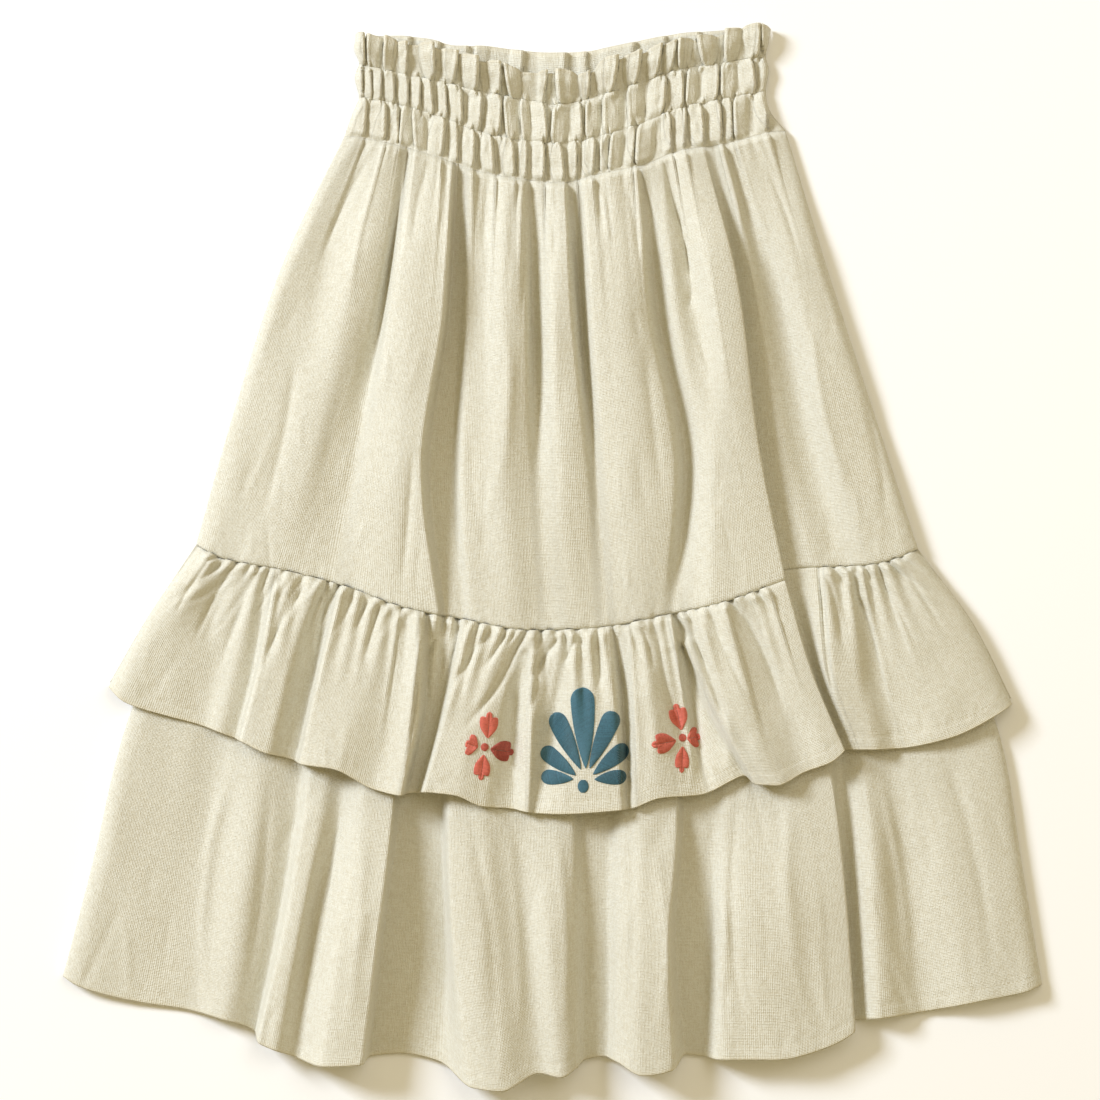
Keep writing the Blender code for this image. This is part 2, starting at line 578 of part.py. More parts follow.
def build_flounce(panel_foot, panel_spans):
    """Front flounce: hung from the seam, its small gathers running out into larger waves."""
    x_seam = column(FLOUNCE_FOLDS, "x_seam")
    z_seam = seam_heights(panel_foot, panel_spans, x_seam, FLOUNCE_OVERLAP_EDGE)
    layout = Layout(
        table=FLOUNCE_FOLDS,
        x_names=("x_seam", "x_mid", "x_hem"),
        z_levels=np.stack([z_seam, column(FLOUNCE_FOLDS, "z_mid"), column(FLOUNCE_FOLDS, "z_hem")]),
        levels=FLOUNCE_LEVELS,
        rows=[0.0, 0.07, 0.19, 0.4, 0.7, 1.0],
        pitch=8.0)
    surface, spans = folded_piece(layout, seam_line(FLOUNCE_OVERLAP_EDGE),
                                  hem_line(column(FLOUNCE_FOLDS, "y_hem")), on_table)
    part = np.linspace(0.0, 1.0, surface.shape[1])
    wave = gather_wave(part, FLOUNCE_GATHERS, 0.6) * smoothstep(0.0, 0.02, part) * smoothstep(1.0, 0.98, part)
    turn = (spans >= FLOUNCE_OVERLAP_EDGE - 1) & (spans < FLOUNCE_OVERLAP_EDGE + 4)
    wave = np.where(turn, 0.0, wave)
    for row, level in enumerate(layout.rows):
        strength = 0.35 + 0.65 * smoothstep(0.0, 0.1, level) - smoothstep(0.15, 0.75, level)
        surface[row, :, 2] += FLOUNCE_GATHER_Z * max(strength, 0.0) * wave
    return surface


def build_tier(flounce):
    """Lower front tier: smooth under the flounce, then in its own deep folds down to the hem."""
    def under_seam(x, spans, stations, columns):
        return seam_line(TIER_OVERLAP_EDGE)(x, spans, stations, columns) + 1.0

    def on_back(x, y):
        return back_base(x, y) + WALL / 2 + LAYER_GAP
    names = ("z_seam", "z_flounce", "z_shin", "z_hem")
    layout = Layout(
        table=TIER_FOLDS,
        x_names=("x_seam", "x_flounce", "x_shin", "x_hem"),
        z_levels=np.stack([column(TIER_FOLDS, name) for name in names]),
        levels=TIER_LEVELS,
        rows=[0.0, 0.2, 0.36, 0.45, 0.56, 0.7, 0.85, 1.0],
        pitch=17.0)
    surface, spans = folded_piece(layout, under_seam, hem_line(column(TIER_FOLDS, "y_hem")), on_back)
    return lay_on_back(press_under(surface, flounce))


def span_columns(count):
    """Fractions across a piece, closer at its two side edges."""
    inner = np.linspace(0.012, 0.988, count)
    return np.concatenate([[0.0, 0.003], inner, [0.997, 1.0]])


def drop_edges(surface, rim_z, reach):
    """Round a front piece's side edges down to the back's border within a short reach, in mm."""
    step = PLAN_STEP / MM
    for row in surface:
        distance = np.minimum(row[:, 0] - row[0, 0], row[-1, 0] - row[:, 0]) * step
        share = np.sqrt(1 - np.clip(1 - distance / reach, 0.0, 1.0) ** 2)
        row[:, 2] = rim_z + (row[:, 2] - rim_z) * share
    return surface


def band_section(zone, columns):
    """Plan x and y across the waistband at a zone coordinate from 0, free edge, to 3, waist seam."""
    stations = [row.zone for row in BAND_EDGES]
    left, right = monotone_curve(stations, [[row.left, row.right] for row in BAND_EDGES], np.array([zone]))[0]
    return left + (right - left) * columns


def frill_edge(x, frill):
    """Plan y of the heading's free edge at each plan x."""
    centres = [(row.left + row.right) / 2 for row in frill]
    return curve_height(list(zip(centres, [row.edge for row in frill])), x)


def band_y(x, zone, frill, dip):
    """Plan y of the waistband at a zone coordinate; dip raises the hidden rows of the back."""
    rows = [curve_height([(row.x, row[index]) for row in SHIRRING], x) for index in (1, 2, 3)]
    lines = [frill_edge(x, frill), rows[0] - dip, rows[1] - dip, rows[2] - dip * 0.5]
    zone_index = min(int(zone), 2)
    part = zone - zone_index
    return lines[zone_index] * (1 - part) + lines[zone_index + 1] * part


def band_gathers(x, zone, frill):
    """Height of the gathers at a zone coordinate, pinched at each row of shirring."""
    zones = [frill, UPPER_CHANNEL, LOWER_CHANNEL]
    index = min(int(zone), 2)
    part = zone - index
    if index == 0:
        swell = math.sin(math.pi / 2 * (1 - part)) ** 0.7
    else:
        swell = math.sin(math.pi * min(part, 1.0)) ** 0.7 if part < 1.0 else 0.0
    height = gathered(x, zones[index])
    if index > 0:
        height += (gathered(x, zones[index - 1]) - height) * 0.5 * float(smoothstep(0.18, 0.0, part))
    if index < 2:
        height += (gathered(x, zones[index + 1]) - height) * 0.5 * float(smoothstep(0.82, 1.0, part))
    return height * (PINCH + (1 - PINCH) * swell)


BAND_ROWS = [0.0, 0.45, 1.0, 1.3, 1.7, 2.0, 2.3, 2.7, 3.0]


def build_front_band(panel_top):
    """Front waistband, whose last row takes the upper panel's height at the waist seam."""
    columns = span_columns(92)
    surface = []
    for zone in BAND_ROWS:
        x = band_section(zone, columns)
        y = band_y(x, zone, FRONT_FRILL, 0.0)
        floor = BAND_VALLEY_Z + (FRILL_VALLEY_Z - BAND_VALLEY_Z) * float(smoothstep(1.0, 0.25, zone))
        z = floor + band_gathers(x, zone, FRONT_FRILL)
        if zone == BAND_ROWS[-1]:
            z = np.interp(x, panel_top[:, 0], panel_top[:, 2])
        surface.append(np.stack([x, y, z], axis=1))
    return drop_edges(np.array(surface), BAND_WALL + LAYER_GAP + BAND_WALL, 3.5)


def build_back_band():
    """Back waistband on the table, its channels' gathers nested under the front ones."""
    columns = span_columns(54)
    surface = []
    for zone in BAND_ROWS[:-1:2] + [3.0]:
        x = band_section(zone, columns)
        y = band_y(x, zone, BACK_FRILL, 3.0)
        share = 1.0 if zone < 1.0 else BACK_GATHER_SHARE
        near_edge = smoothstep(0.0, 14.0, np.minimum(x - x[0], x[-1] - x))
        z = BAND_FLOOR_Z + share * band_gathers(x, zone, BACK_FRILL) * near_edge
        surface.append(np.stack([x, y, z], axis=1))
    return np.array(surface)


def back_folds(x, y):
    """Height of the back's soft folds above where it lies."""
    height = np.zeros_like(x)
    for fold in BACK_FOLDS:
        part = (y - fold.y_top) / (fold.y_foot - fold.y_top)
        clipped = np.clip(part, 0.0, 1.0)
        centre = fold.x_top + clipped * (fold.x_foot - fold.x_top)
        half = (fold.width_top + clipped * (fold.width_foot - fold.width_top)) / 2
        peak = fold.height_top + clipped * (fold.height_foot - fold.height_top)
        fade = smoothstep(-0.25, 0.0, part) * smoothstep(1.25, 1.0, part)
        across = np.clip(np.abs(x - centre) / half, 0.0, 1.0)
        height = np.maximum(height, peak * fade * (0.5 + 0.5 * np.cos(math.pi * across)))
    return height


def back_outline(levels, left, right, part):
    """Left and right plan x of a back piece at a level between its top and its foot."""
    pair = monotone_curve(levels, np.stack([left, right], axis=1), np.array([part]))[0]
    return pair[0], pair[1]


def build_back_panel():
    """Upper back panel, flat on the table but for its soft folds."""
    columns = span_columns(26)
    rows = [0.0, 0.2, 0.45, 0.7, 0.88, 1.0]
    first, last = PANEL_FOLDS[0], PANEL_FOLDS[-1]
    surface = []
    for level in rows:
        left, right = back_outline(PANEL_LEVELS, first[:4], last[:4], level)
        x = left + (right - left) * columns
        top = curve_height([(row.x, row.row_3) for row in SHIRRING],
                           first.x_waist + (last.x_waist - first.x_waist) * columns) - 1.5
        foot = curve_height(BACK_SEAM, first.x_seam + (last.x_seam - first.x_seam) * columns)
        y = top + level * (foot - top)
        surface.append(np.stack([x, y, FLOOR_Z + back_folds(x, y)], axis=1))
    return np.array(surface)


def build_back_flounce():
    """Back flounce, pressed on the table by what lies on it."""
    columns = span_columns(58)
    rows = [0.0, 0.12, 0.45, 1.0]
    first, last = FLOUNCE_FOLDS[0], FLOUNCE_FOLDS[-1]
    part = np.linspace(0.0, 1.0, len(columns))
    wave = np.maximum(gather_wave(part, BACK_FLOUNCE_GATHERS, 1.7) * 1.5 - 0.5, 0.0)
    wave = wave * smoothstep(0.0, 0.06, part) * smoothstep(1.0, 0.94, part)
    surface = []
    for level in rows:
        left, right = back_outline(FLOUNCE_LEVELS, first[:3], last[:3], level)
        x = left + (right - left) * columns
        top = curve_height(BACK_SEAM, first.x_seam + (last.x_seam - first.x_seam) * columns)
        foot = curve_height(BACK_FLOUNCE_HEM, first.x_hem + (last.x_hem - first.x_hem) * columns)
        y = top + level * (foot - top)
        strength = BACK_FLOUNCE_GATHER_Z * float(smoothstep(0.9, 0.3, level))
        surface.append(np.stack([x, y, FLOOR_Z + strength * wave], axis=1))
    return np.array(surface)


def build_back_tier():
    """Lower back tier: on the back flounce at first, then down on the table."""
    columns = span_columns(26)
    rows = [0.0, 0.2, 0.36, 0.46, 0.56, 0.72, 0.88, 1.0]
    first, last = TIER_FOLDS[0], TIER_FOLDS[-1]
    surface = []
    for level in rows:
        left, right = back_outline(TIER_LEVELS, first[:4], last[:4], level)
        x = left + (right - left) * columns
        top = curve_height(BACK_SEAM, first.x_seam + (last.x_seam - first.x_seam) * columns) + 1.0
        foot = curve_height(BACK_HEM, first.x_hem + (last.x_hem - first.x_hem) * columns)
        y = top + level * (foot - top)
        surface.append(np.stack([x, y, back_base(x, y + (level == 0.0))], axis=1))
    return np.array(surface)


def surface_normals(points):
    """Unit normals of a grid of points; at the sewn edges they stay across the skirt."""
    along = np.gradient(points, axis=1)
    down = np.gradient(points, axis=0)
    normals = np.cross(down, along)
    normals[0, :, 1] = 0.0
    normals[-1, :, 1] = 0.0
    return normals / np.linalg.norm(normals, axis=2, keepdims=True)


def swollen(surface):
    """Heights with the folds below the waist standing prouder; every cloth keeps its order."""
    height = surface[..., 2]
    share = SWELL * smoothstep(SWELL_TOP, SWELL_FULL, surface[..., 1])
    return height + share * np.maximum(height - SWELL_FROM, 0.0)


def to_metres(surface):
    """Plan points as metres about the origin."""
    metres = np.empty_like(surface)
    metres[..., 0] = (surface[..., 0] - PLAN_CENTRE_X) * PLAN_STEP
    metres[..., 1] = (PLAN_CENTRE_Y - surface[..., 1]) * PLAN_STEP
    metres[..., 2] = swollen(surface) * MM
    return metres


def linen():
    """Cream linen; each piece has its own copy."""
    material = bpy.data.materials.new("linen")
    material.use_nodes = True
    shader = material.node_tree.nodes["Principled BSDF"]
    shader.inputs["Base Color"].default_value = LINEN
    shader.inputs["Roughness"].default_value = 0.9
    shader.inputs["Metallic"].default_value = 0.0
    return material


def make_wall(name, surface, wall):
    """Object for one piece: a closed wall of even thickness about its middle surface."""
    middle = to_metres(surface)
    offset = surface_normals(middle) * (wall * MM / 2)
    rows, columns = middle.shape[:2]
    points = np.concatenate([(middle + offset).reshape(-1, 3), (middle - offset).reshape(-1, 3)])
    under = rows * columns
    faces = []
    for row in range(rows - 1):
        for side in range(columns - 1):
            corner = row * columns + side
            below = corner + columns
            faces.append((corner, below, below + 1))
            faces.append((corner, below + 1, corner + 1))
            faces.append((under + corner, under + below + 1, under + below))
            faces.append((under + corner, under + corner + 1, under + below + 1))
    for side in range(columns - 1):
        foot = (rows - 1) * columns + side
        faces.append((side, side + 1, under + side + 1, under + side))
        faces.append((foot + 1, foot, under + foot, under + foot + 1))
    for row in range(rows - 1):
        left = row * columns
        right = left + columns - 1
        faces.append((left + columns, left, under + left, under + left + columns))
        faces.append((right, right + columns, under + right + columns, under + right))
    mesh = bpy.data.meshes.new(name)
    mesh.from_pydata(points.tolist(), [], faces)
    mesh.update()
    mesh.shade_smooth()
    mesh.materials.append(linen())
    piece = bpy.data.objects.new(name, mesh)
    bpy.context.scene.collection.objects.link(piece)
    return piece


def main():
    """Clear the scene and make the eight pieces."""
    for item in list(bpy.data.objects):
        bpy.data.objects.remove(item)
    panel, spans = build_panel()
    flounce = build_flounce(panel[-1], spans)
    half = SEAM_GAP / 2
    make_wall("waistband_front", gap_rows(build_front_band(panel[0]), 0.0, half), BAND_WALL)
    make_wall("waistband_back", gap_rows(build_back_band(), 0.0, half), BAND_WALL)
    make_wall("front_panel", gap_rows(panel, half, half), WALL)
    make_wall("back_panel", gap_rows(build_back_panel(), half, half), WALL)
    make_wall("ruffle_front", gap_rows(flounce, half, 0.0), WALL)
    make_wall("ruffle_back", gap_rows(build_back_flounce(), half, 0.0), WALL)
    make_wall("lower_tier_front", gap_rows(build_tier(flounce), half, 0.0), WALL)
    make_wall("lower_tier_back", gap_rows(build_back_tier(), half, 0.0), WALL)


main()
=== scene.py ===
"""Looks of a child's linen skirt that lies flat on a table, face up.

The skirt is sewn from a shirred waistband with a frilled heading, an upper panel, a gathered flounce with
a free hem and a lower tier, each once for the front and once for the back. Places on the plan are counted
in steps of 0.6 mm from the upper left corner of a square plan, x to the right and y down the skirt, and
heights are in millimetres above the table, to the middle of the cloth.
"""
from __future__ import annotations

import logging
import math
from dataclasses import dataclass
from enum import Enum
from functools import partial
from typing import Callable, NamedTuple, Optional, Sequence, TypeVar

import bpy
import numpy as np
from bpy.types import ID, Material, Mesh, NodeSocket, NodeTree, Object
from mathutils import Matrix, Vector
from mathutils.bvhtree import BVHTree

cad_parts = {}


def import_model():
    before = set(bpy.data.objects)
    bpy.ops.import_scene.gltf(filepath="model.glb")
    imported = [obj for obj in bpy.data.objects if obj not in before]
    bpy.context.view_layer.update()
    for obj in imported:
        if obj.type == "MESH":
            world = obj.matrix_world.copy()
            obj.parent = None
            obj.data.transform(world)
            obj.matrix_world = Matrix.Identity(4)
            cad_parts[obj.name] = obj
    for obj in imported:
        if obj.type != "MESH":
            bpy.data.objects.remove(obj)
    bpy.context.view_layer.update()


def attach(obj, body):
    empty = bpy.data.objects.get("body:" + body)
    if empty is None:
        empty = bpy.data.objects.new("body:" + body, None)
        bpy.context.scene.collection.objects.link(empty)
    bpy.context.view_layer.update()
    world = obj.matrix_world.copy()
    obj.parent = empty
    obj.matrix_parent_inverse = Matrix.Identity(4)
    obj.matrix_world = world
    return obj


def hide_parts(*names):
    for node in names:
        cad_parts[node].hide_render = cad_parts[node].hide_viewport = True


Array = np.ndarray
LOG = logging.getLogger("linen_skirt")
BODY = "root"
MM = 0.001


class Slot(Enum):
    """Material slots of the record."""

    LINEN = "linen"
    THREAD = "thread"
    BLUE = "embroidery_blue"
    CORAL = "embroidery_coral"


@dataclass(frozen=True)
class Plan:
    """The square plan that all places are counted on."""

    step: float = 0.0006
    centre_x: float = 552.5
    centre_y: float = 556.0

    def to_metres(self, points: Array) -> Array:
        """Turn plan points into metres about the origin.

        Args:
            points: Rows of plan x, plan y and height in millimetres.

        Returns:
            The same points in metres.
        """
        metres = np.empty_like(points)
        metres[..., 0] = (points[..., 0] - self.centre_x) * self.step
        metres[..., 1] = (self.centre_y - points[..., 1]) * self.step
        metres[..., 2] = points[..., 2] * MM
        return metres


PLAN = Plan()
STEP_MM = PLAN.step / MM


@dataclass(frozen=True)
class ClothSizes:
    """Sizes that the solids share with the looks, in millimetres."""

    wall: float = 1.2
    layer_gap: float = 0.35
    shell: float = 0.6
    band_shell: float = 0.9
    hem_shell: float = 0.85
    roll_rise: float = 1.3
    floor_rim: float = 1.0
    tier_rim: float = 0.4
    swell: float = 0.70
    swell_from: float = 4.0
    swell_top: float = 175.0
    swell_full: float = 260.0
    tier_lift: float = 2.6
    band_valley: float = 3.4
    frill_valley: float = 7.2
    back_gather_share: float = 0.26
    flounce_gather: float = 2.4
    flounce_gathers: int = 40
    back_gathers: int = 26
    back_gather: float = 1.0

    @property
    def floor(self) -> float:
        """Height of the middle of a wall that lies on the table."""
        return self.wall / 2

    @property
    def rim(self) -> float:
        """Height at which a front side edge comes down on the back's border."""
        return self.wall + self.layer_gap


CLOTH = ClothSizes()


class Station(NamedTuple):
    """Plan x of a place across the front, and the three rows of shirring there."""

    x: float
    row_1: float
    row_2: float
    row_3: float


class BandEdge(NamedTuple):
    """Side outline of the waistband at a zone: 0 is the free edge, 1 to 3 are the rows."""

    zone: float
    left: float
    right: float


class Frill(NamedTuple):
    """A gather of the heading, its height and the plan y of its free edge."""

    left: float
    right: float
    height: float
    edge: float


class Gather(NamedTuple):
    """A gather of a shirred channel."""

    left: float
    right: float
    height: float


class Place(NamedTuple):
    """A place of the plan."""

    x: float
    y: float


class PanelFold(NamedTuple):
    """A crease line of the upper panel."""

    x_waist: float
    x_hip: float
    x_thigh: float
    x_seam: float
    z_waist: float
    z_hip: float
    z_thigh: float
    z_seam: float


class FlounceFold(NamedTuple):
    """A crease line of the flounce."""

    x_seam: float
    x_mid: float
    x_hem: float
    y_hem: float
    z_mid: float
    z_hem: float


class TierFold(NamedTuple):
    """A crease line of the lower tier."""

    x_seam: float
    x_flounce: float
    x_shin: float
    x_hem: float
    y_hem: float
    z_seam: float
    z_flounce: float
    z_shin: float
    z_hem: float


class BackFold(NamedTuple):
    """A soft fold of the back."""

    x_top: float
    y_top: float
    x_foot: float
    y_foot: float
    width_top: float
    width_foot: float
    height_top: float
    height_foot: float


class Pleat(NamedTuple):
    """A sharp pleat edge: its two ends, its height in mm and the side that drops, 1 for the right."""

    x_start: float
    y_start: float
    x_end: float
    y_end: float
    height: float
    side: float


class Crease(NamedTuple):
    """A small crease drawn on a piece: its two ends, its width in steps and its height in mm."""

    x_start: float
    y_start: float
    x_end: float
    y_end: float
    width: float
    height: float


Row = TypeVar("Row")


def table(kind: Callable[..., Row], *rows: Sequence[object]) -> list[Row]:
    """Make a table whose rows all have the named columns of one kind."""
    return [kind(*row) for row in rows]


# The three rows of shirring across the front, and how far down the plan each one lies.
SHIRRING = table(
    Station, (357, 64, 97, 137), (400, 74, 105, 146), (440, 82, 117, 158), (480, 92, 132, 172), (520, 99, 140, 179),
    (560, 105, 143, 183), (600, 96, 136, 174), (640, 83, 124, 166), (680, 70, 108, 151), (720, 64, 100, 145),
    (770, 56, 90, 132))

# Side outline of the waistband; zone 0 is the free edge, 1 to 3 are the rows of shirring.
BAND_EDGES = table(
    BandEdge, (0, 357, 769), (0.5, 355, 768), (1, 360, 765), (1.4, 355.5, 768), (2, 359.5, 765), (2.5, 352, 769),
    (3, 345, 785))

SHIRRED_ZONES = (1.0, 2.0, 3.0)

# Gathers of the front heading: plan x from left to right, height in mm, plan y of the free edge.
FRONT_FRILL = table(
    Frill, (354, 366, 7, 33), (366, 383, 5.5, 35), (383, 397, 6.5, 37), (398, 408, 5, 40), (420, 436, 7, 42),
    (440, 458, 6.5, 48), (458, 480, 9, 55), (487, 502, 6.5, 60), (505, 522, 7.5, 67), (537, 546, 5, 69),
    (555, 577, 8, 70), (578, 590, 5.5, 72), (594, 618, 9, 58), (621, 641, 7, 53), (645, 661, 6.5, 46),
    (661, 675, 6, 42), (677, 692, 7, 38), (698, 717, 8, 35), (723, 741, 6.5, 28), (742, 761, 7, 24),
    (761, 770, 6, 25))
# Gathers of the back heading, whose inner face shows behind the dipped front edge.
BACK_FRILL = table(
    Frill, (357, 380, 3.5, 36), (384, 412, 3.8, 36), (416, 440, 4.2, 39), (446, 470, 4, 46), (473, 489, 3.8, 46),
    (508, 523, 4.4, 50), (536, 568, 4.8, 53), (577, 587, 3.6, 52), (595, 636, 4.6, 46), (641, 668, 4, 38),
    (672, 700, 4.2, 33), (705, 735, 4, 31), (740, 768, 3.6, 28))

UPPER_CHANNEL = table(
    Gather, (355, 363, 4.5), (363, 372, 4), (372, 382, 5), (383, 395, 5.5), (396, 409, 5), (409, 421, 5.5),
    (421, 433, 5.5), (437, 447, 5), (447, 463, 6), (467, 482, 6.5), (484, 502, 6.5), (504, 519, 6), (521, 530, 4.5),
    (531, 547, 6.5), (551, 569, 6.5), (571, 582, 5.5), (585, 601, 5.5), (602, 624, 6.5), (627, 645, 6),
    (646, 666, 6.5), (667, 684, 6), (686, 698, 5.5), (701, 719, 6.5), (720, 737, 6), (738, 755, 6), (757, 768, 4.5))
LOWER_CHANNEL = table(
    Gather, (350, 367, 5), (368, 387, 5.5), (388, 399, 5), (400, 413, 5), (413, 427, 6), (427, 445, 6),
    (448, 458, 4.5), (461, 475, 6), (479, 494, 6.5), (497, 515, 6), (517, 527, 5), (531, 545, 6.5), (546, 564, 6.5),
    (567, 577, 5), (581, 595, 6), (600, 609, 4.5), (609, 623, 6), (625, 634, 5), (635, 656, 6.5), (661, 671, 5.5),
    (674, 686, 5.5), (688, 704, 6.6), (706, 722, 6), (722, 732, 5), (733, 749, 6.2), (753, 768, 5.6))

PANEL_LEVELS = [0.0, 0.32, 0.68, 1.0]
# Crease lines of the upper front panel, left to right: side edges, shoulders of ridges, and valleys.
PANEL_FOLDS = table(
    PanelFold, (345, 282, 234, 197, 3.7, 3.9, 4.4, 5.2), (353, 292, 246, 212, 5.6, 7, 7, 8),
    (368, 322, 285, 240, 4.2, 5.5, 8, 8.4), (389, 356, 318, 275, 7.5, 10.4, 9.2, 9.2),
    (401, 378, 333, 305, 5.4, 8, 7.6, 8.4), (407, 387, 357, 330, 4, 3.2, 5.6, 8),
    (412, 394, 372, 352, 6.2, 12.5, 9.5, 8.6), (432, 420, 400, 395, 7.8, 15.5, 13.5, 10.6),
    (451, 443, 420.5, 437, 7, 15.5, 14, 11), (458, 450, 431, 447, 4, 2.5, 2.7, 7.8),
    (465, 461, 453, 463, 5.2, 4.6, 3.4, 8), (470, 469, 463, 473, 6.2, 8, 8.8, 9.6),
    (487, 484, 484, 488, 5.2, 8.6, 9.8, 10), (508, 505, 505, 512, 7.8, 13, 12, 10.6),
    (523, 525, 528, 535, 6.6, 11.5, 9.8, 9.6), (533, 534, 540, 550, 4, 3.4, 8.2, 9.4),
    (553, 556, 562, 572, 7.6, 12.5, 11.2, 10.2), (565, 571.5, 586, 592, 6.6, 12, 9.8, 9.6),
    (573, 582, 596, 606, 4, 2.7, 7.6, 9.2), (582, 594, 607, 618, 6.4, 13, 10.4, 9.6),
    (610, 622, 640, 640, 7.8, 14.5, 12.8, 10.6), (637, 647, 673, 660, 6.6, 11.5, 11.4, 9.4),
    (645, 658, 686, 674, 4, 3.6, 3.6, 8.4), (659, 675, 702, 694, 6.4, 9.6, 10.2, 10),
    (667, 692, 715, 715, 4.8, 6.8, 13.2, 13), (688, 715, 738, 752, 8.4, 14.5, 13.6, 12.8),
    (702, 737, 757, 784, 7.6, 13, 12.2, 12.4), (706, 731, 750, 776.5, 5.4, 8.8, 9, 10.4),
    (709, 729, 747, 773, 4.6, 6.2, 6.4, 8.5), (713, 736, 755, 786, 4.2, 4.2, 4.4, 6.8),
    (719, 752, 778, 812, 6.2, 6.4, 5.6, 7.6), (729, 767, 803, 840, 4.4, 3, 2.6, 6.8),
    (756, 796, 830, 872, 6.8, 8.2, 9, 9), (777, 816, 864, 903, 6, 7.8, 8, 8.6),
    (785, 825.5, 874, 917, 3.7, 3.9, 4.4, 5.2))
OVERLAP_EDGE = 26       # row of PANEL_FOLDS where the large fold's edge lies over the cloth beside it

# Seam between the upper panel and the flounce, and its shorter stretch behind the large fold.
FLOUNCE_SEAM = table(
    Place, (197, 545), (226, 559), (278, 569), (342, 585), (407, 608), (458, 618), (532, 630), (592, 628), (660, 616),
    (722, 602), (784, 580))
FLOUNCE_SEAM_BEHIND = table(
    Place, (765, 574), (800, 568), (830, 567), (867, 565), (894, 559), (917, 549))

BACK_SEAM = FLOUNCE_SEAM[:-1] + FLOUNCE_SEAM_BEHIND[2:]
WAIST_SEAM = [Place(station.x, station.row_3) for station in SHIRRING]
TIER_DROP = 2.0         # plan steps that the lower tiers start below the flounce seam

FLOUNCE_LEVELS = [0.0, 0.5, 1.0]
# Crease lines of the front flounce; its height at the seam is the panel's.
FLOUNCE_FOLDS = table(
    FlounceFold, (197, 150, 110, 687, 5.4, 5.4), (208, 162, 123, 700, 9, 9), (237, 218, 202, 725, 6.6, 6.5),
    (254, 240, 221, 732, 8.8, 9), (270, 256, 236, 738, 7.2, 7.2), (279, 265, 243, 741, 12.5, 12),
    (305, 288, 266, 752, 13, 13), (325, 305, 286, 757, 7.4, 7.2), (335, 314, 295, 760, 6.8, 6.8),
    (343, 322, 302, 763, 14, 14.5), (380, 362, 335, 768, 15.5, 17), (402, 394, 374, 788, 13.5, 15),
    (422, 418, 401, 794, 16.5, 18), (431, 427, 407, 793, 6.8, 6.8), (454, 440, 417, 792, 6.8, 6.8),
    (467, 450, 425, 791, 14, 15.5), (498, 475, 455, 794, 14.5, 16), (520, 496, 482, 805, 13.4, 14),
    (529, 516, 513, 808, 8.8, 10.4), (541, 529, 527, 811, 13.6, 13.8), (559, 552, 534, 812, 8.6, 12),
    (568, 569, 562, 813, 13, 14), (608, 615, 620, 809, 14, 15), (618, 624, 628, 808, 7.2, 11),
    (628, 633, 636, 806, 13, 14), (645, 655, 660, 797, 14, 13.5), (665, 683, 700, 794, 9.4, 10.6),
    (674, 697, 744, 775, 9.4, 9.8), (686, 710, 755, 783, 13.6, 13.8), (715, 738, 776, 784, 16.5, 16),
    (743, 775, 804, 771, 12.6, 12.4), (768, 796, 832, 760, 14.4, 14.2), (784, 808, 843, 750, 14, 13.8),
    (776.5, 802, 837, 750, 11.2, 11), (773, 799, 834, 750, 9, 8.8), (787, 809, 842, 749, 6.8, 6.7),
    (818, 824, 855, 749, 12, 10.5), (838, 850, 872, 749, 12.5, 11.5), (858, 874, 898, 748, 8.4, 8.4),
    (884, 915, 950, 737, 10.6, 10.6), (906, 958, 998, 713, 9.6, 9.6), (917, 973, 1011, 704, 5.4, 5.4))
FLOUNCE_OVERLAP_EDGE = 32

TIER_LEVELS = [0.0, 0.45, 0.72, 1.0]
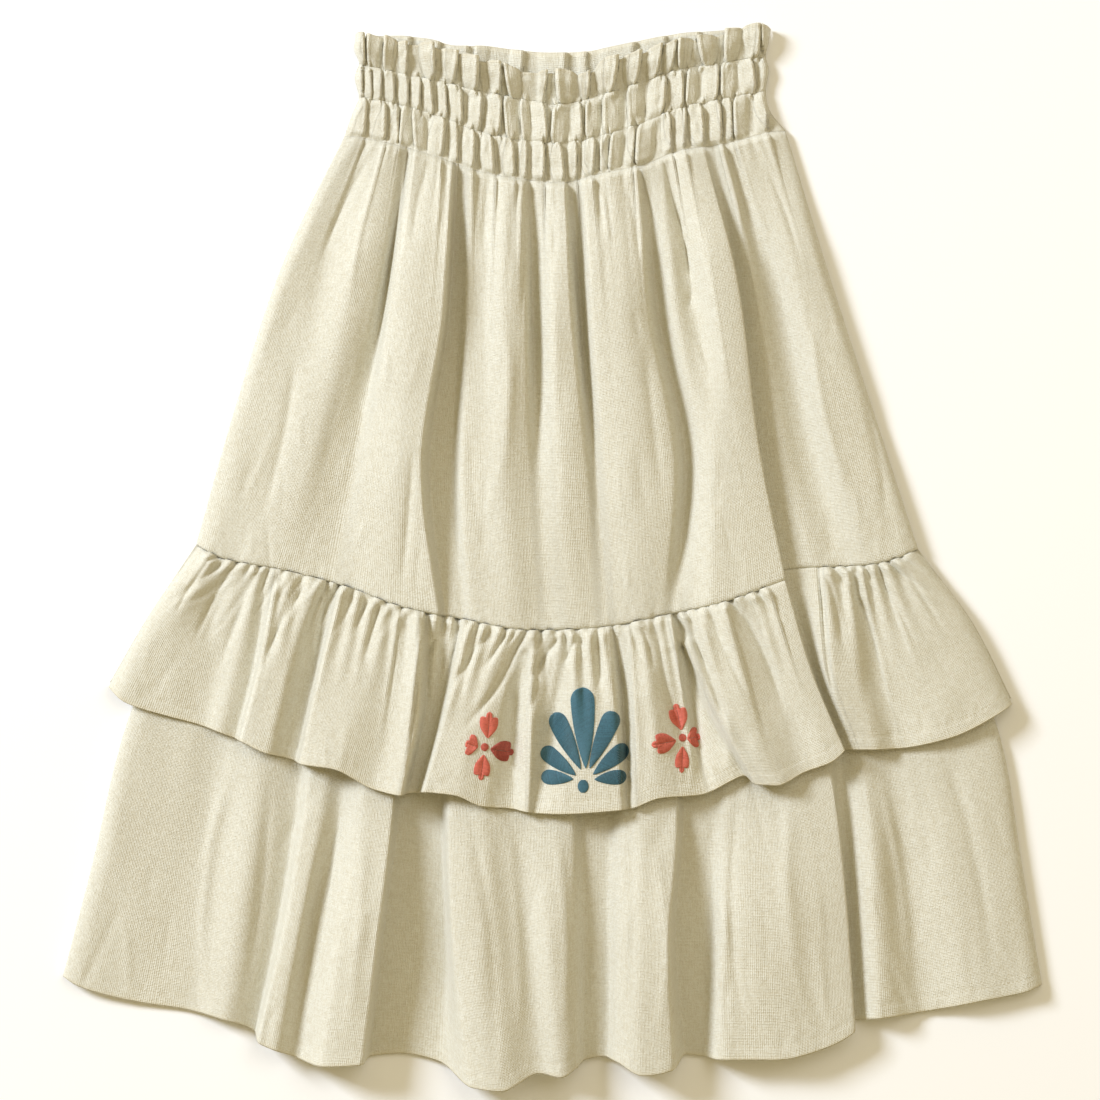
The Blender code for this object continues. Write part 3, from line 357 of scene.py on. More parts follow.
# Crease lines of the lower front tier, whose upper part lies hidden under the flounce.
TIER_FOLDS = table(
    TierFold, (203, 122, 95, 64, 976, 5.2, 4, 3.7, 3.7), (215, 135, 108, 78, 985, 5.2, 6, 6.4, 5.8),
    (240, 180, 160, 135, 1001, 5.2, 5.6, 4.8, 4.4), (262, 213, 200, 186, 1009, 5.2, 4.4, 3.6, 3.2),
    (288, 262, 246, 226, 1019, 5.4, 8, 9.4, 8.4), (318, 299, 281, 255, 1031, 5.2, 5, 4, 2.6),
    (336, 310, 289, 260, 1041, 5.2, 9.4, 12.5, 12), (345, 323, 301, 275, 1048, 5.6, 9.8, 13.5, 12.5),
    (358, 340, 312, 294, 1055, 5.6, 7.4, 7, 7.2), (382, 366, 346, 326, 1064, 6.4, 13, 17, 16),
    (406, 392, 378, 362, 1062, 6.4, 13, 18, 17), (415, 399, 384, 370, 1056, 5.2, 4.6, 3.2, 2.4),
    (432, 424, 412, 402, 1053, 5.2, 4.2, 2.6, 2.3), (452, 441, 444, 440, 1061, 5.2, 4.6, 3.4, 4),
    (474, 450, 456, 473, 1085, 6.4, 11.5, 15, 14.5), (492, 480, 488, 502, 1088, 6.6, 12.5, 17, 18),
    (518, 515, 529, 539, 1071, 6, 9.2, 10.4, 13), (546, 546, 552, 561, 1075, 6.4, 10, 14.5, 15),
    (568, 571, 574, 576, 1066, 6.2, 9.4, 10.5, 11.5), (584, 584, 585, 585, 1059, 5.4, 5.4, 3.8, 4.4),
    (604, 607, 606, 604, 1056, 5.4, 5.2, 3.4, 4), (616, 621, 619, 617, 1060, 5.4, 8.8, 12, 11),
    (640, 645, 640, 642, 1073, 6, 11, 16.5, 16), (660, 675, 667, 671, 1068, 5.6, 10.4, 17, 15),
    (674, 684, 676, 686, 1054, 5.2, 5, 3.6, 2.6), (698, 712, 708, 704, 1056, 5.6, 5.2, 3.6, 3.2),
    (715, 730, 724, 721, 1058, 5.6, 6.6, 12.5, 11.5), (735, 765, 770, 775, 1058, 6, 8, 13, 12.6),
    (742, 808, 824, 828, 1045, 6.4, 9.4, 11, 11), (752, 832, 846, 854, 1029, 6.2, 9.4, 9.8, 9.8),
    (756, 834, 839, 847, 1025, 5.6, 7.6, 7.2, 7.2), (760, 836, 836, 844, 1022, 5.3, 6, 4.9, 4.9),
    (768, 842, 844, 852, 1020, 5.2, 4.4, 2.8, 2.5), (818, 862, 875, 882, 1017, 5.6, 7.2, 9.8, 9.6),
    (848, 890, 908, 925, 1011, 5.2, 4.8, 3.8, 3.8), (875, 930, 955, 977, 1001, 5.4, 7, 8.2, 8),
    (900, 988, 1009, 1028, 990, 5.4, 6.4, 7.2, 6.8), (911, 1002, 1021, 1041, 984, 5.2, 4, 3.7, 3.7))

TIER_OVERLAP_EDGE = 29

# Outlines that the table hides: the back heading, the back flounce's hem and the back hem.
BACK_FLOUNCE_HEM = table(Place, (112, 682), (300, 736), (552, 768), (800, 740), (1009, 698))
BACK_HEM = table(
    Place, (64, 974), (160, 1000), (255, 1026), (400, 1048), (552, 1052), (690, 1048), (840, 1016), (935, 1006),
    (1041, 982))

# Soft folds of the back, each one under a ridge of the front.
BACK_FOLDS = table(
    BackFold, (385, 190, 318, 470, 16, 44, 1.6, 3.4), (430, 190, 405, 520, 18, 40, 2, 4.6),
    (508, 200, 508, 480, 20, 34, 1.8, 3.6), (616, 200, 628, 500, 26, 44, 2, 4.2),
    (690, 200, 738, 560, 16, 36, 2, 5.2), (352, 830, 326, 1040, 30, 40, 1, 4.6),
    (484, 830, 505, 1046, 26, 40, 1, 4.8), (645, 830, 646, 1046, 24, 34, 1, 4.2),
    (775, 820, 792, 1032, 40, 60, 1, 4.6), (948, 760, 968, 996, 30, 56, 0.8, 3.2))
HEM_DEPTH = 13.0        # plan steps from a hem's edge up to its line of stitches

# Small creases of the upper front panel, beside its folds.
PANEL_CREASES = table(
    Crease, (490, 176, 484, 256, 4.5, -1.6), (598, 176, 605, 230, 4.5, -1.4), (664, 168, 686, 238, 3.6, -1.8),
    (686, 238, 692, 284, 3.2, -1.6), (692, 284, 685, 312, 3, -1), (708, 152, 716, 206, 3, -1.3),
    (722, 156, 742, 236, 3.4, 1.1), (742, 160, 776, 250, 5, 1.2), (758, 150, 800, 262, 3.6, -1.2),
    (372, 156, 322, 262, 4.2, -1.3), (384, 160, 350, 300, 3.6, 1), (428, 168, 414, 246, 3.4, -1.1),
    (441, 172, 436, 232, 3, 0.9), (516, 190, 514, 262, 3.6, -1), (548, 196, 552, 276, 3.4, -1.2),
    (626, 186, 637, 262, 3.4, -1.1), (414, 452, 402, 590, 5, -1.1), (508, 330, 505, 470, 6, 1),
    (645, 350, 662, 500, 6, -0.9), (296, 360, 262, 520, 6, -1), (812, 330, 850, 500, 6, 0.9),
    (862, 400, 884, 530, 5, -0.9))
# Sharp edges of the pleats that start at the waist seam.
PANEL_PLEATS = table(
    Pleat, (406, 148, 398, 270, 1.3, 1), (410, 152, 401, 270, 1.3, -1), (454, 168, 443, 330, 1.9, 1),
    (493, 180, 489, 310, 1.2, -1), (524, 182, 519, 340, 1.7, 1), (546, 184, 548, 275, 0.9, -1),
    (567, 183, 572, 350, 1.8, 1), (582, 180, 594, 350, 1.8, -1), (600, 178, 614, 255, 1.1, 1),
    (636, 172, 646, 225, 1, 1), (641, 170, 664, 250, 1.3, -1), (664, 167, 688, 270, 1.2, 1),
    (671, 165, 699, 310, 1.2, -1), (706, 150, 731, 290, 1.6, 1), (724, 146, 758, 260, 1.2, 1),
    (384, 142, 366, 210, 0.9, -1))
# Edges of the flounce's folds.
FLOUNCE_PLEATS = table(
    Pleat, (280, 568, 242, 739, 1.6, -1), (340, 590, 298, 762, 1.8, -1), (327, 578, 310, 690, 1, 1),
    (401, 608, 380, 760, 1, 1), (425, 614, 403, 800, 2.2, 1), (463, 622, 424, 790, 2.2, -1),
    (611, 628, 618, 760, 0.9, 1), (628, 628, 640, 810, 1.8, -1), (530, 655, 527, 830, 1.8, -1),
    (672, 619, 698, 790, 2.6, 1), (684, 646, 756, 790, 2.6, -1), (726, 610, 774, 780, 1, 1),
    (752, 600, 786, 700, 1.1, -1), (820, 572, 836, 730, 1.8, -1), (858, 572, 896, 730, 1.3, -1),
    (880, 569, 922, 690, 1, -1))
# Long creases of the flounce, from its seam out into its waves.
FLOUNCE_CREASES = table(
    Crease, (522, 634, 466, 726, 4, -2), (508, 630, 484, 668, 3.2, -1.8), (560, 636, 526, 684, 3.6, -2),
    (541, 640, 524, 730, 4, -1.6), (494, 628, 446, 700, 3.6, -1.5), (577, 634, 563, 664, 3, -1.5),
    (613, 628, 629, 704, 3.6, -1.8), (657, 620, 690, 756, 4.4, -1.8), (681, 614, 727, 746, 4.4, -2),
    (708, 606, 748, 700, 3.6, -1.5), (733, 600, 782, 708, 4, -1.7), (640, 624, 652, 670, 3, -1.5),
    (752, 594, 766, 640, 3, -1.2), (444, 614, 424, 662, 3.2, -1.8), (383, 600, 364, 666, 3.6, -1.6),
    (368, 596, 354, 636, 3, -1.5), (328, 584, 302, 660, 3.8, -1.6), (296, 576, 262, 668, 3.8, -1.6),
    (262, 568, 222, 668, 4.4, -1.5), (236, 564, 196, 640, 3.8, -1.3), (214, 556, 176, 614, 3.2, -1.2),
    (802, 572, 814, 640, 3.2, -1.4), (826, 570, 842, 650, 3.6, -1.5), (850, 568, 880, 660, 3.8, -1.4),
    (876, 564, 916, 650, 4, -1.4), (898, 558, 944, 632, 3.6, -1.2), (674, 636, 690, 794, 5, 1.2),
    (690, 650, 711, 797, 8, -3.2), (724, 712, 738, 792, 7, 1), (516, 670, 515, 800, 8, -1.4),
    (236, 572, 204, 650, 9, -1.6), (640, 650, 652, 790, 7, 0.9), (596, 640, 598, 690, 4, -1.2))
# Long soft creases of the lower front tier.
TIER_CREASES = table(
    Crease, (232, 770, 204, 990, 6, 1.2), (270, 790, 244, 1000, 5, -1.2), (340, 800, 314, 1020, 5, -1.1),
    (366, 830, 348, 1040, 7, 0.9), (470, 820, 492, 1060, 6, -1), (508, 830, 520, 1030, 6, 1),
    (556, 830, 566, 1020, 5, 1), (630, 830, 628, 1030, 5.5, -0.9), (655, 850, 657, 1040, 6, 0.9),
    (738, 800, 744, 1030, 6, -1.1), (790, 800, 806, 1010, 8, 1), (880, 780, 908, 980, 6, 1.1),
    (940, 750, 990, 970, 6, -1))


class PetalForm(Enum):
    """Outlines of the embroidered petals."""

    TEARDROP = "teardrop"
    TULIP = "tulip"
    DOT = "dot"


class Petal(NamedTuple):
    """A satin stitched petal from its tip to its outer end, its width in steps and its share of painted shade."""

    form: PetalForm
    tip_x: float
    tip_y: float
    end_x: float
    end_y: float
    width: float
    tone: float


TEARDROP, TULIP, DOT = PetalForm

# The last column of each petal is painted shade: the blue petals darken towards the right, and the coral petal that
# lies in a fold's valley is darkest.
BLUE_MOTIF = table(
    Petal, (TEARDROP, 585.5, 767, 582, 687, 23.5, 0), (TEARDROP, 580.5, 768, 554, 712.5, 18.5, 0.2),
    (TEARDROP, 589.5, 767, 614, 711, 18.5, 0.3), (TEARDROP, 575.5, 774, 542, 748, 16.5, 0.1),
    (TEARDROP, 593, 773, 627, 745.5, 16.5, 0.4), (TEARDROP, 573, 778, 541.5, 775.5, 14.5, 0.2),
    (TEARDROP, 594.5, 778, 625.5, 775, 14.5, 0.5), (DOT, 577.7, 785, 588.3, 785, 13, 0.3))
CORAL_MOTIF = table(
    Petal, (TULIP, 488, 737, 490, 711, 18, 0), (TULIP, 478, 746, 466, 742, 21, 0.1),
    (TULIP, 491, 748, 514, 752, 20, 1), (TULIP, 484, 754, 481, 779, 16, 0.1), (DOT, 481.2, 746, 488.8, 746, 7.6, 0.3),
    (TULIP, 681, 729, 675, 703, 18, 0), (TULIP, 675, 740, 651, 744, 20, 0.2), (TULIP, 687, 738, 700, 736, 20, 0.1),
    (TULIP, 682, 746, 681, 772, 14, 0.1), (DOT, 678.2, 737, 685.8, 737, 7.6, 0.3))

HEM_PUCKER = 0.18       # height in mm of the small waves along a line of hem stitches
HEM_DENT = 0.14         # how far in mm that line sinks
FAN_TOP = 430.0         # plan steps above the plan's edge where the fan of the creases starts
SPAN_EASE = 0.05        # added to each stretch of a section, so that steep sides stay smooth
NOISE_CELLS = 128       # cells of a random pattern before it repeats
NOISE_SHIFT = (11.0, 7.0)   # cells by which the plan's corner lies inside it
CREASE_BOW = 0.05       # share of its length that a crease bends aside
PLEAT_EDGE = 1.1        # plan steps over which a pleat's edge drops
PLEAT_REACH = 8.0       # plan steps that a pleat is felt on each side


def monotone_curve(stations: Sequence[float], values: Array, places: Array) -> Array:
    """Read a smooth curve through the stations that never overshoots them.

    Args:
        stations: Rising places of the given values.
        values: One row of values for each station.
        places: Where to read the curve.

    Returns:
        One row of values for each place.
    """
    stations = np.asarray(stations, float)
    values = np.asarray(values, float)
    widths = np.diff(stations)
    slopes = np.diff(values, axis=0) / widths[:, None]
    tangents = np.empty_like(values)
    tangents[0] = slopes[0]
    tangents[-1] = slopes[-1]
    before, after = slopes[:-1], slopes[1:]
    weight_before = (2 * widths[1:] + widths[:-1])[:, None]
    weight_after = (widths[1:] + 2 * widths[:-1])[:, None]
    same_way = before * after > 0
    safe_before = np.where(same_way, before, 1.0)
    safe_after = np.where(same_way, after, 1.0)
    mean = (weight_before + weight_after) / (weight_before / safe_before + weight_after / safe_after)
    tangents[1:-1] = np.where(same_way, mean, 0.0)
    span = np.clip(np.searchsorted(stations, places, side="right") - 1, 0, len(stations) - 2)
    width = widths[span][:, None]
    part = ((places - stations[span]) / widths[span])[:, None]
    start_value = (1 + 2 * part) * (1 - part) ** 2
    start_tangent = part * (1 - part) ** 2
    end_value = part * part * (3 - 2 * part)
    end_tangent = part * part * (part - 1)
    return (start_value * values[span] + start_tangent * width * tangents[span]
            + end_value * values[span + 1] + end_tangent * width * tangents[span + 1])


def curve_height(points: Sequence[Sequence[float]], x: Array) -> Array:
    """Read plan y at each plan x on the smooth curve through a list of places.

    Args:
        points: Places with plan x first and plan y second.
        x: Plan x of the wanted places, of any shape.

    Returns:
        Plan y, in the shape of x.
    """
    x = np.asarray(x, float)
    stations = [point[0] for point in points]
    values = np.array([[point[1]] for point in points])
    return monotone_curve(stations, values, np.clip(x.ravel(), stations[0], stations[-1]))[:, 0].reshape(x.shape)


def column(rows: Sequence[NamedTuple], name: str) -> Array:
    """Take one named column of a table as an array."""
    return np.array([getattr(row, name) for row in rows], float)


def columns_at(rows: Sequence[NamedTuple], first: str, places: Sequence[str]) -> Array:
    """Take the columns of one letter, x or z, at several places down a table."""
    return np.stack([column(rows, f"{first}_{place}") for place in places])


def smoothstep(low: float, high: float, value: Array | float) -> Array:
    """Step softly from 0 at low to 1 at high."""
    part = np.clip((value - low) / (high - low), 0.0, 1.0)
    return part * part * (3 - 2 * part)


def running(steps: Array, axis: int = 0) -> Array:
    """Running total of steps along an axis, which starts at 0."""
    return np.cumsum(np.insert(steps, 0, 0.0, axis), axis)


def inset(x: Array, reach: float) -> Array:
    """Share that rises from 0 at the side edges of a piece to 1 at a reach inside them."""
    return smoothstep(0.0, reach, np.minimum(x - x[:, :1], x[:, -1:] - x))


def read_grid(grid: Array, across: Array, down: Array, eased: bool) -> Array:
    """Read a grid of values between its cells; it repeats beyond its edges.

    Args:
        grid: Rows of values.
        across: Place of each point across the grid, in cells.
        down: Its place down the grid.
        eased: Whether one cell passes softly into the next.

    Returns:
        One value for each point.
    """
    side, row = np.floor(across).astype(int), np.floor(down).astype(int)
    part_x, part_y = across - side, down - row
    if eased:
        part_x, part_y = smoothstep(0.0, 1.0, part_x), smoothstep(0.0, 1.0, part_y)
    rows, sides = grid.shape
    corners = [grid[(row + j) % rows, (side + i) % sides] for j in (0, 1) for i in (0, 1)]
    upper = corners[0] * (1 - part_x) + corners[1] * part_x
    lower = corners[2] * (1 - part_x) + corners[3] * part_x
    return upper * (1 - part_y) + lower * part_y


def value_noise(x: Array, y: Array, pitch: tuple[float, float], seed: int) -> Array:
    """Soft random heights from -1 to 1 at plan points, in a pattern with a pitch across and down in steps."""
    lattice = np.random.default_rng(seed).uniform(-1.0, 1.0, (NOISE_CELLS, NOISE_CELLS))
    return read_grid(lattice, x / pitch[0] + NOISE_SHIFT[0], y / pitch[1] + NOISE_SHIFT[1], True)


def beside_line(line: Crease | Pleat, x: Array, y: Array) -> tuple[float, Array, Array]:
    """Length of a drawn line, and the distances along it and beside it of each point."""
    run_x, run_y = line.x_end - line.x_start, line.y_end - line.y_start
    length = math.hypot(run_x, run_y)
    from_x, from_y = x - line.x_start, y - line.y_start
    return length, (from_x * run_x + from_y * run_y) / length, (from_x * run_y - from_y * run_x) / length


def crease_relief(creases: Sequence[Crease], x: Array, y: Array) -> Array:
    """Height that a list of creases adds at each point, each one soft at its ends and sharper at its line.

    Args:
        creases: The creases, positive ones raised and negative ones sunk.
        x: Plan x of the points.
        y: Plan y of the points.

    Returns:
        Height in millimetres for each point.
    """
    relief = np.zeros_like(x)
    for crease in creases:
        length, along, beside = beside_line(crease, x, y)
        part = np.clip(along / length, 0, 1)
        beside = beside - CREASE_BOW * length * math.sin(crease.x_start * 1.7) * part * (1 - part) * 4
        fade = smoothstep(-0.10 * length, 0.25 * length, along) * smoothstep(1.10 * length, 0.60 * length, along)
        relief += crease.height * fade / (1.0 + (beside / crease.width) ** 2) ** 1.5
    return relief


def pleat_relief(pleats: Sequence[Pleat], x: Array, y: Array) -> Array:
    """Height that sharp pleat edges add: the cloth rises to each edge and drops beyond it.

    Args:
        pleats: The edges.
        x: Plan x of the points.
        y: Plan y of the points.

    Returns:
        Height in millimetres for each point.
    """
    relief = np.zeros_like(x)
    for pleat in pleats:
        length, along, beside = beside_line(pleat, x, y)
        beside = beside * pleat.side
        fade = smoothstep(-PLEAT_REACH, 0.0, along) * smoothstep(length, 0.25 * length, along)
        relief -= pleat.height * fade * np.tanh(beside / PLEAT_EDGE) * np.exp(-np.abs(beside) / PLEAT_REACH)
    return relief


def scattered_creases(seed: int, count: int, box: tuple[float, float, float, float],
                      size: tuple[float, float]) -> list[Crease]:
    """Scatter soft creases that mostly run down the skirt, fanned out from the waist.

    Args:
        seed: Fixed seed of the scatter.
        count: Number of creases.
        box: Left, top, right and bottom of the area, in plan steps.
        size: Longest length in steps and greatest height in millimetres.

    Returns:
        The creases.
    """
    generator = np.random.default_rng(seed)
    creases = []
    for _ in range(count):
        x, y = generator.uniform(box[0], box[2]), generator.uniform(box[1], box[3])
        lean = (x - PLAN.centre_x) / (y + FAN_TOP) + generator.normal(0.0, 0.22)
        length = size[0] * generator.uniform(0.35, 1.0)
        height = size[1] * generator.uniform(0.3, 1.0) * generator.choice((-1.0, 1.0))
        creases.append(Crease(x, y, x + lean * length, y + length, generator.uniform(2.4, 6.5), height))
    return creases


@dataclass(frozen=True)
class Rumple:
    """Scattered creases of a front piece, and soft waves with their height in mm and pitch in steps."""

    seed: int
    count: int
    box: tuple[float, float, float, float]
    size: tuple[float, float]
    wave: float
    pitch: tuple[float, float]

    def relief(self, x: Array, y: Array) -> Array:
        """Height in millimetres that they add at plan points."""
        creases = scattered_creases(self.seed, self.count, self.box, self.size)
        return crease_relief(creases, x, y) + self.wave * value_noise(x, y, self.pitch, self.seed + 3)


def spaced(place: Array, density: Array, count: int) -> Array:
    """Choose places that lie closer together where the density is higher."""
    total = running((density[1:] + density[:-1]) / 2)
    return np.interp(np.linspace(0.0, total[-1], count), total, place)


def eased_levels(count: int, top: float, foot: float) -> Array:
    """Levels from 0 to 1, which lie closer together at the top and the foot by the given shares."""
    place = np.linspace(0.0, 1.0, 400)
    return spaced(place, 1.0 + top * np.exp(-place / 0.07) + foot * np.exp(-(1 - place) / 0.05), count)


# Section of one gather of the waistband: share of the way across, and share of its height.
KNIFE_SECTION = [(0.0, 0.0), (0.10, 0.22), (0.26, 0.48), (0.52, 0.68), (0.76, 0.82), (0.88, 1.0), (0.95, 0.88),
                 (1.0, 0.0)]


def gather_profile(x: Array, gathers: Sequence[NamedTuple], narrow: Array | float,
                   climb: Array | float) -> Array:
    """Height of a row of gathers, each one a narrow pleat with a rolled edge on one side.

    Args:
        x: Plan x of the points.
        gathers: The gathers, with their left and right edges and heights.
        narrow: Share of each gather's width that is taken off.
        climb: Place along the gather, from -1 to 1, for its lean.

    Returns:
        Height in millimetres for each point.
    """
    section = np.array(KNIFE_SECTION)
    height = np.zeros(np.broadcast(x, narrow).shape)
    for index, gather in enumerate(gathers):
        width = gather.right - gather.left
        lean = min(1.8, 0.14 * width) * math.sin(2.3 * index + gather.left) * climb
        part = ((x - lean - gather.left) / width - 0.5) / (1.0 - narrow) + 0.5
        if (index * 7 + int(gather.left)) % 4 == 1:
            part = 1.0 - part
        height = np.maximum(height, gather.height * np.interp(part, section[:, 0], section[:, 1], 0.0, 0.0))
    return height


def gather_wave(part: Array, count: int, phase: float) -> Array:
    """Uneven wave from 0 to 1 along a seam.

    Args:
        part: Share of the way along the seam.
        count: Number of gathers.
        phase: Where the unevenness starts.

    Returns:
        The wave at each place.
    """
    slow, quick = np.sin(2 * math.pi * 3.1 * part + phase), np.sin(2 * math.pi * 7.3 * part + 2 * phase)
    swing = 0.5 - 0.5 * np.cos(2 * math.pi * count * (part + 0.011 * slow + 0.006 * quick))
    return swing * (0.78 + 0.22 * np.sin(2 * math.pi * 5.7 * part + 3 * phase))


Columns = list[tuple[int, float]]
Line = Callable[[Array, Array], Array]


def column_places(stations: Array, columns: Columns) -> Array:
    """Distances along a section at its columns."""
    return np.array([stations[span] + part * (stations[span + 1] - stations[span]) for span, part in columns])


@dataclass(frozen=True)
class FoldedForm:
    """A front piece that follows a table of crease lines from its top edge to its foot."""

    table: Sequence[NamedTuple]
    places: tuple[str, ...]
    z_levels: Array
    levels: Sequence[float]
    rows: Array
    pitch: float

    def columns(self, x_levels: Array) -> Columns:
        """Where to read each section: a span between crease lines and the fraction across it.

        Args:
            x_levels: Plan x of the crease lines at each level.

        Returns:
            Span and fraction of each column.
        """
        both_sides = ((0, 0), (1, 1))
        x_all = np.pad(x_levels, both_sides, mode="edge")
        z_all = np.pad(self.z_levels, both_sides, constant_values=CLOTH.rim)
        widest = np.abs(np.diff(x_all, axis=1)).max(axis=0)
        tallest = np.abs(np.diff(z_all, axis=1)).max(axis=0) / STEP_MM
        columns: Columns = []
        for span, width in enumerate(np.maximum(widest, tallest)):
            count = max(2, int(math.ceil(width / self.pitch)))
            columns += [(span, part / count) for part in range(count)]
        columns.append((len(widest) - 1, 1.0))
        return columns

    def surface(self, top: Line, foot: Line | Array, rims: Line) -> tuple[Array, Array]:
        """Middle surface of the piece.

        Args:
            top: Plan y of the top edge from the plan x and span of its columns.
            foot: Plan y of the foot in the same way, or at each crease line.
            rims: Heights of the two side edges from their plan x and y.

        Returns:
            Rows of plan points, and the span of each column.
        """
        x_levels = columns_at(self.table, "x", self.places)
        x_rows = monotone_curve(self.levels, x_levels, self.rows)
        z_rows = monotone_curve(self.levels, self.z_levels, self.rows)
        columns = self.columns(x_levels)
        spans = np.array([span - 1 for span, part in columns])

        def section(row: int, rim_heights: Array) -> tuple[Array, Array]:
            """Distances along a row at its crease lines, and plan x and height at its columns."""
            x, z = self.turned_down(x_rows[row], z_rows[row], rim_heights)
            stations = running(np.sqrt(np.hypot(np.diff(x) * STEP_MM, np.diff(z)) + SPAN_EASE))
            return stations, monotone_curve(stations, np.stack([x, z], axis=1), column_places(stations, columns))

        ends = []
        for row, line in ((0, top), (-1, foot)):
            stations, points = section(row, np.full(2, CLOTH.rim))
            if callable(line):
                ends.append(line(points[:, 0], spans))
            else:
                at_creases = np.pad(line, 1, mode="edge")[:, None]
                ends.append(monotone_curve(stations, at_creases, column_places(stations, columns))[:, 0])
        surface = []
        for row, level in enumerate(self.rows):
            y = ends[0] + level * (ends[1] - ends[0])
            points = section(row, rims(x_rows[row][[0, -1]], y[[0, -1]]))[1]
            surface.append(np.stack([points[:, 0], y, points[:, 1]], axis=1))
        return np.array(surface), spans

    @staticmethod
    def turned_down(x: Array, z: Array, rims: Array) -> tuple[Array, Array]:
        """Turn a section's side edges straight down to the back's border.

        Args:
            x: Plan x of the crease lines.
            z: Their heights.
            rims: Heights of the two side edges.

        Returns:
            Plan x and heights with the turned edges added.
        """
        rise = z.copy()
        rise[0] = max(z[0], rims[0] + CLOTH.roll_rise)
        rise[-1] = max(z[-1], rims[1] + CLOTH.roll_rise)
        return np.concatenate([x[:1], x, x[-1:]]), np.concatenate([rims[:1], rise, rims[1:]])


def touching_rims(x: Array, y: Array) -> Array:
    """Heights of both side edges where they lie on the back's border on the table."""
    return np.full(2, CLOTH.floor_rim)


def seam_y(x: Array, spans: Array, edge: int) -> Array:
    """Plan y of the flounce seam for a piece whose large fold turns at a row of its table.

    Args:
        x: Plan x of the columns.
        spans: Their spans.
        edge: The row of the fold's edge.

    Returns:
        Plan y of each column.
    """
    at_edge, at_foot = x[np.argmax(spans >= edge)], x[np.argmax(spans >= edge + 2)]
    share = np.clip((at_edge - x) / (at_edge - at_foot), 0.0, 1.0)
    turned = curve_height(FLOUNCE_SEAM, at_edge) * (1 - share) + curve_height(FLOUNCE_SEAM_BEHIND, at_foot) * share
    flat = np.where(spans < edge, curve_height(FLOUNCE_SEAM, x), curve_height(FLOUNCE_SEAM_BEHIND, x))
    return np.where((spans >= edge) & (spans < edge + 2), turned, flat)


def back_folds(x: Array, y: Array) -> Array:
    """Height of the back's soft folds above where it lies."""
    height = np.zeros_like(x)
    for fold in BACK_FOLDS:
        part = (y - fold.y_top) / (fold.y_foot - fold.y_top)
        clipped = np.clip(part, 0.0, 1.0)
        centre = fold.x_top + clipped * (fold.x_foot - fold.x_top)
        half = (fold.width_top + clipped * (fold.width_foot - fold.width_top)) / 2
        peak = fold.height_top + clipped * (fold.height_foot - fold.height_top)
        fade = smoothstep(-0.25, 0.0, part) * smoothstep(1.25, 1.0, part)
        across = np.clip(np.abs(x - centre) / half, 0.0, 1.0)
        height = np.maximum(height, peak * fade * (0.5 + 0.5 * np.cos(math.pi * across)))
    return height


def tier_lift(x: Array, y: Array) -> Array:
    """Height by which the back tier lies on the back flounce, down to just below that one's hem."""
    hem = curve_height(BACK_FLOUNCE_HEM, x)
    return CLOTH.tier_lift * smoothstep(hem + 40, hem + 8, y)


def back_base(x: Array, y: Array) -> Array:
    """Height of the middle of the back's solid wall at a place of the plan."""
    lift = tier_lift(x, y) * (y > curve_height(BACK_SEAM, x))
    return CLOTH.floor + lift + back_folds(x, y) * (1 - lift / CLOTH.tier_lift)


def lay_on_back(surface: Array) -> Array:
    """Hold a front piece clear above the back wherever it would sink into it."""
    inner = surface[:, 2:-2]
    low = back_base(inner[..., 0], inner[..., 1]) + CLOTH.wall + CLOTH.layer_gap
    inner[..., 2] = np.maximum(inner[..., 2], low)
    return surface


class Cover:
    """Lowest height of a cloth over the plan, which holds down what lies under it."""

    cell: float = 2.0
    cells: int = 700
    far: float = 40.0
    level_share: float = 0.35
    slope: float = 6.0
    shifts: tuple[float, ...] = (0.0, 0.34, 0.67)

    def __init__(self, surface: Array, reach: tuple[int, int]) -> None:
        """Read the cover's height over a grid of cells.

        Args:
            surface: Rows of plan points of the cover.
            reach: How many cells it is felt beyond its edge, across and down.
        """
        lowest = np.full((self.cells, self.cells), self.far)
        for shift_row in self.shifts:
            rows = surface[:-1] + (surface[1:] - surface[:-1]) * shift_row
            for shift_side in self.shifts:
                points = (rows[:, :-1] + (rows[:, 1:] - rows[:, :-1]) * shift_side).reshape(-1, 3)
                index = (points[:, 1] / self.cell).astype(int), (points[:, 0] / self.cell).astype(int)
                np.minimum.at(lowest, index, points[:, 2])
        self.heights = lowest.copy()
        for down in range(-reach[1], reach[1] + 1):
            for side in range(-reach[0], reach[0] + 1):
                far_off = math.hypot(side / reach[0], down / reach[1])
                if far_off <= 1.0:
                    rise = self.slope * max(0.0, far_off - self.level_share)
                    self.heights = np.minimum(self.heights, np.roll(lowest, (down, side), (0, 1)) + rise)

    def press(self, surface: Array, gap: float) -> Array:
        """Hold a surface below the cover.

        Args:
            surface: Rows of plan points.
            gap: Distance to keep between the two middles, in millimetres.

        Returns:
            The pressed surface.
        """
        inner = surface[:, 2:-2]
        limit = read_grid(self.heights, inner[..., 0] / self.cell - 0.5, inner[..., 1] / self.cell - 0.5, False)
        inner[..., 2] = np.minimum(inner[..., 2], limit - gap)
        return surface


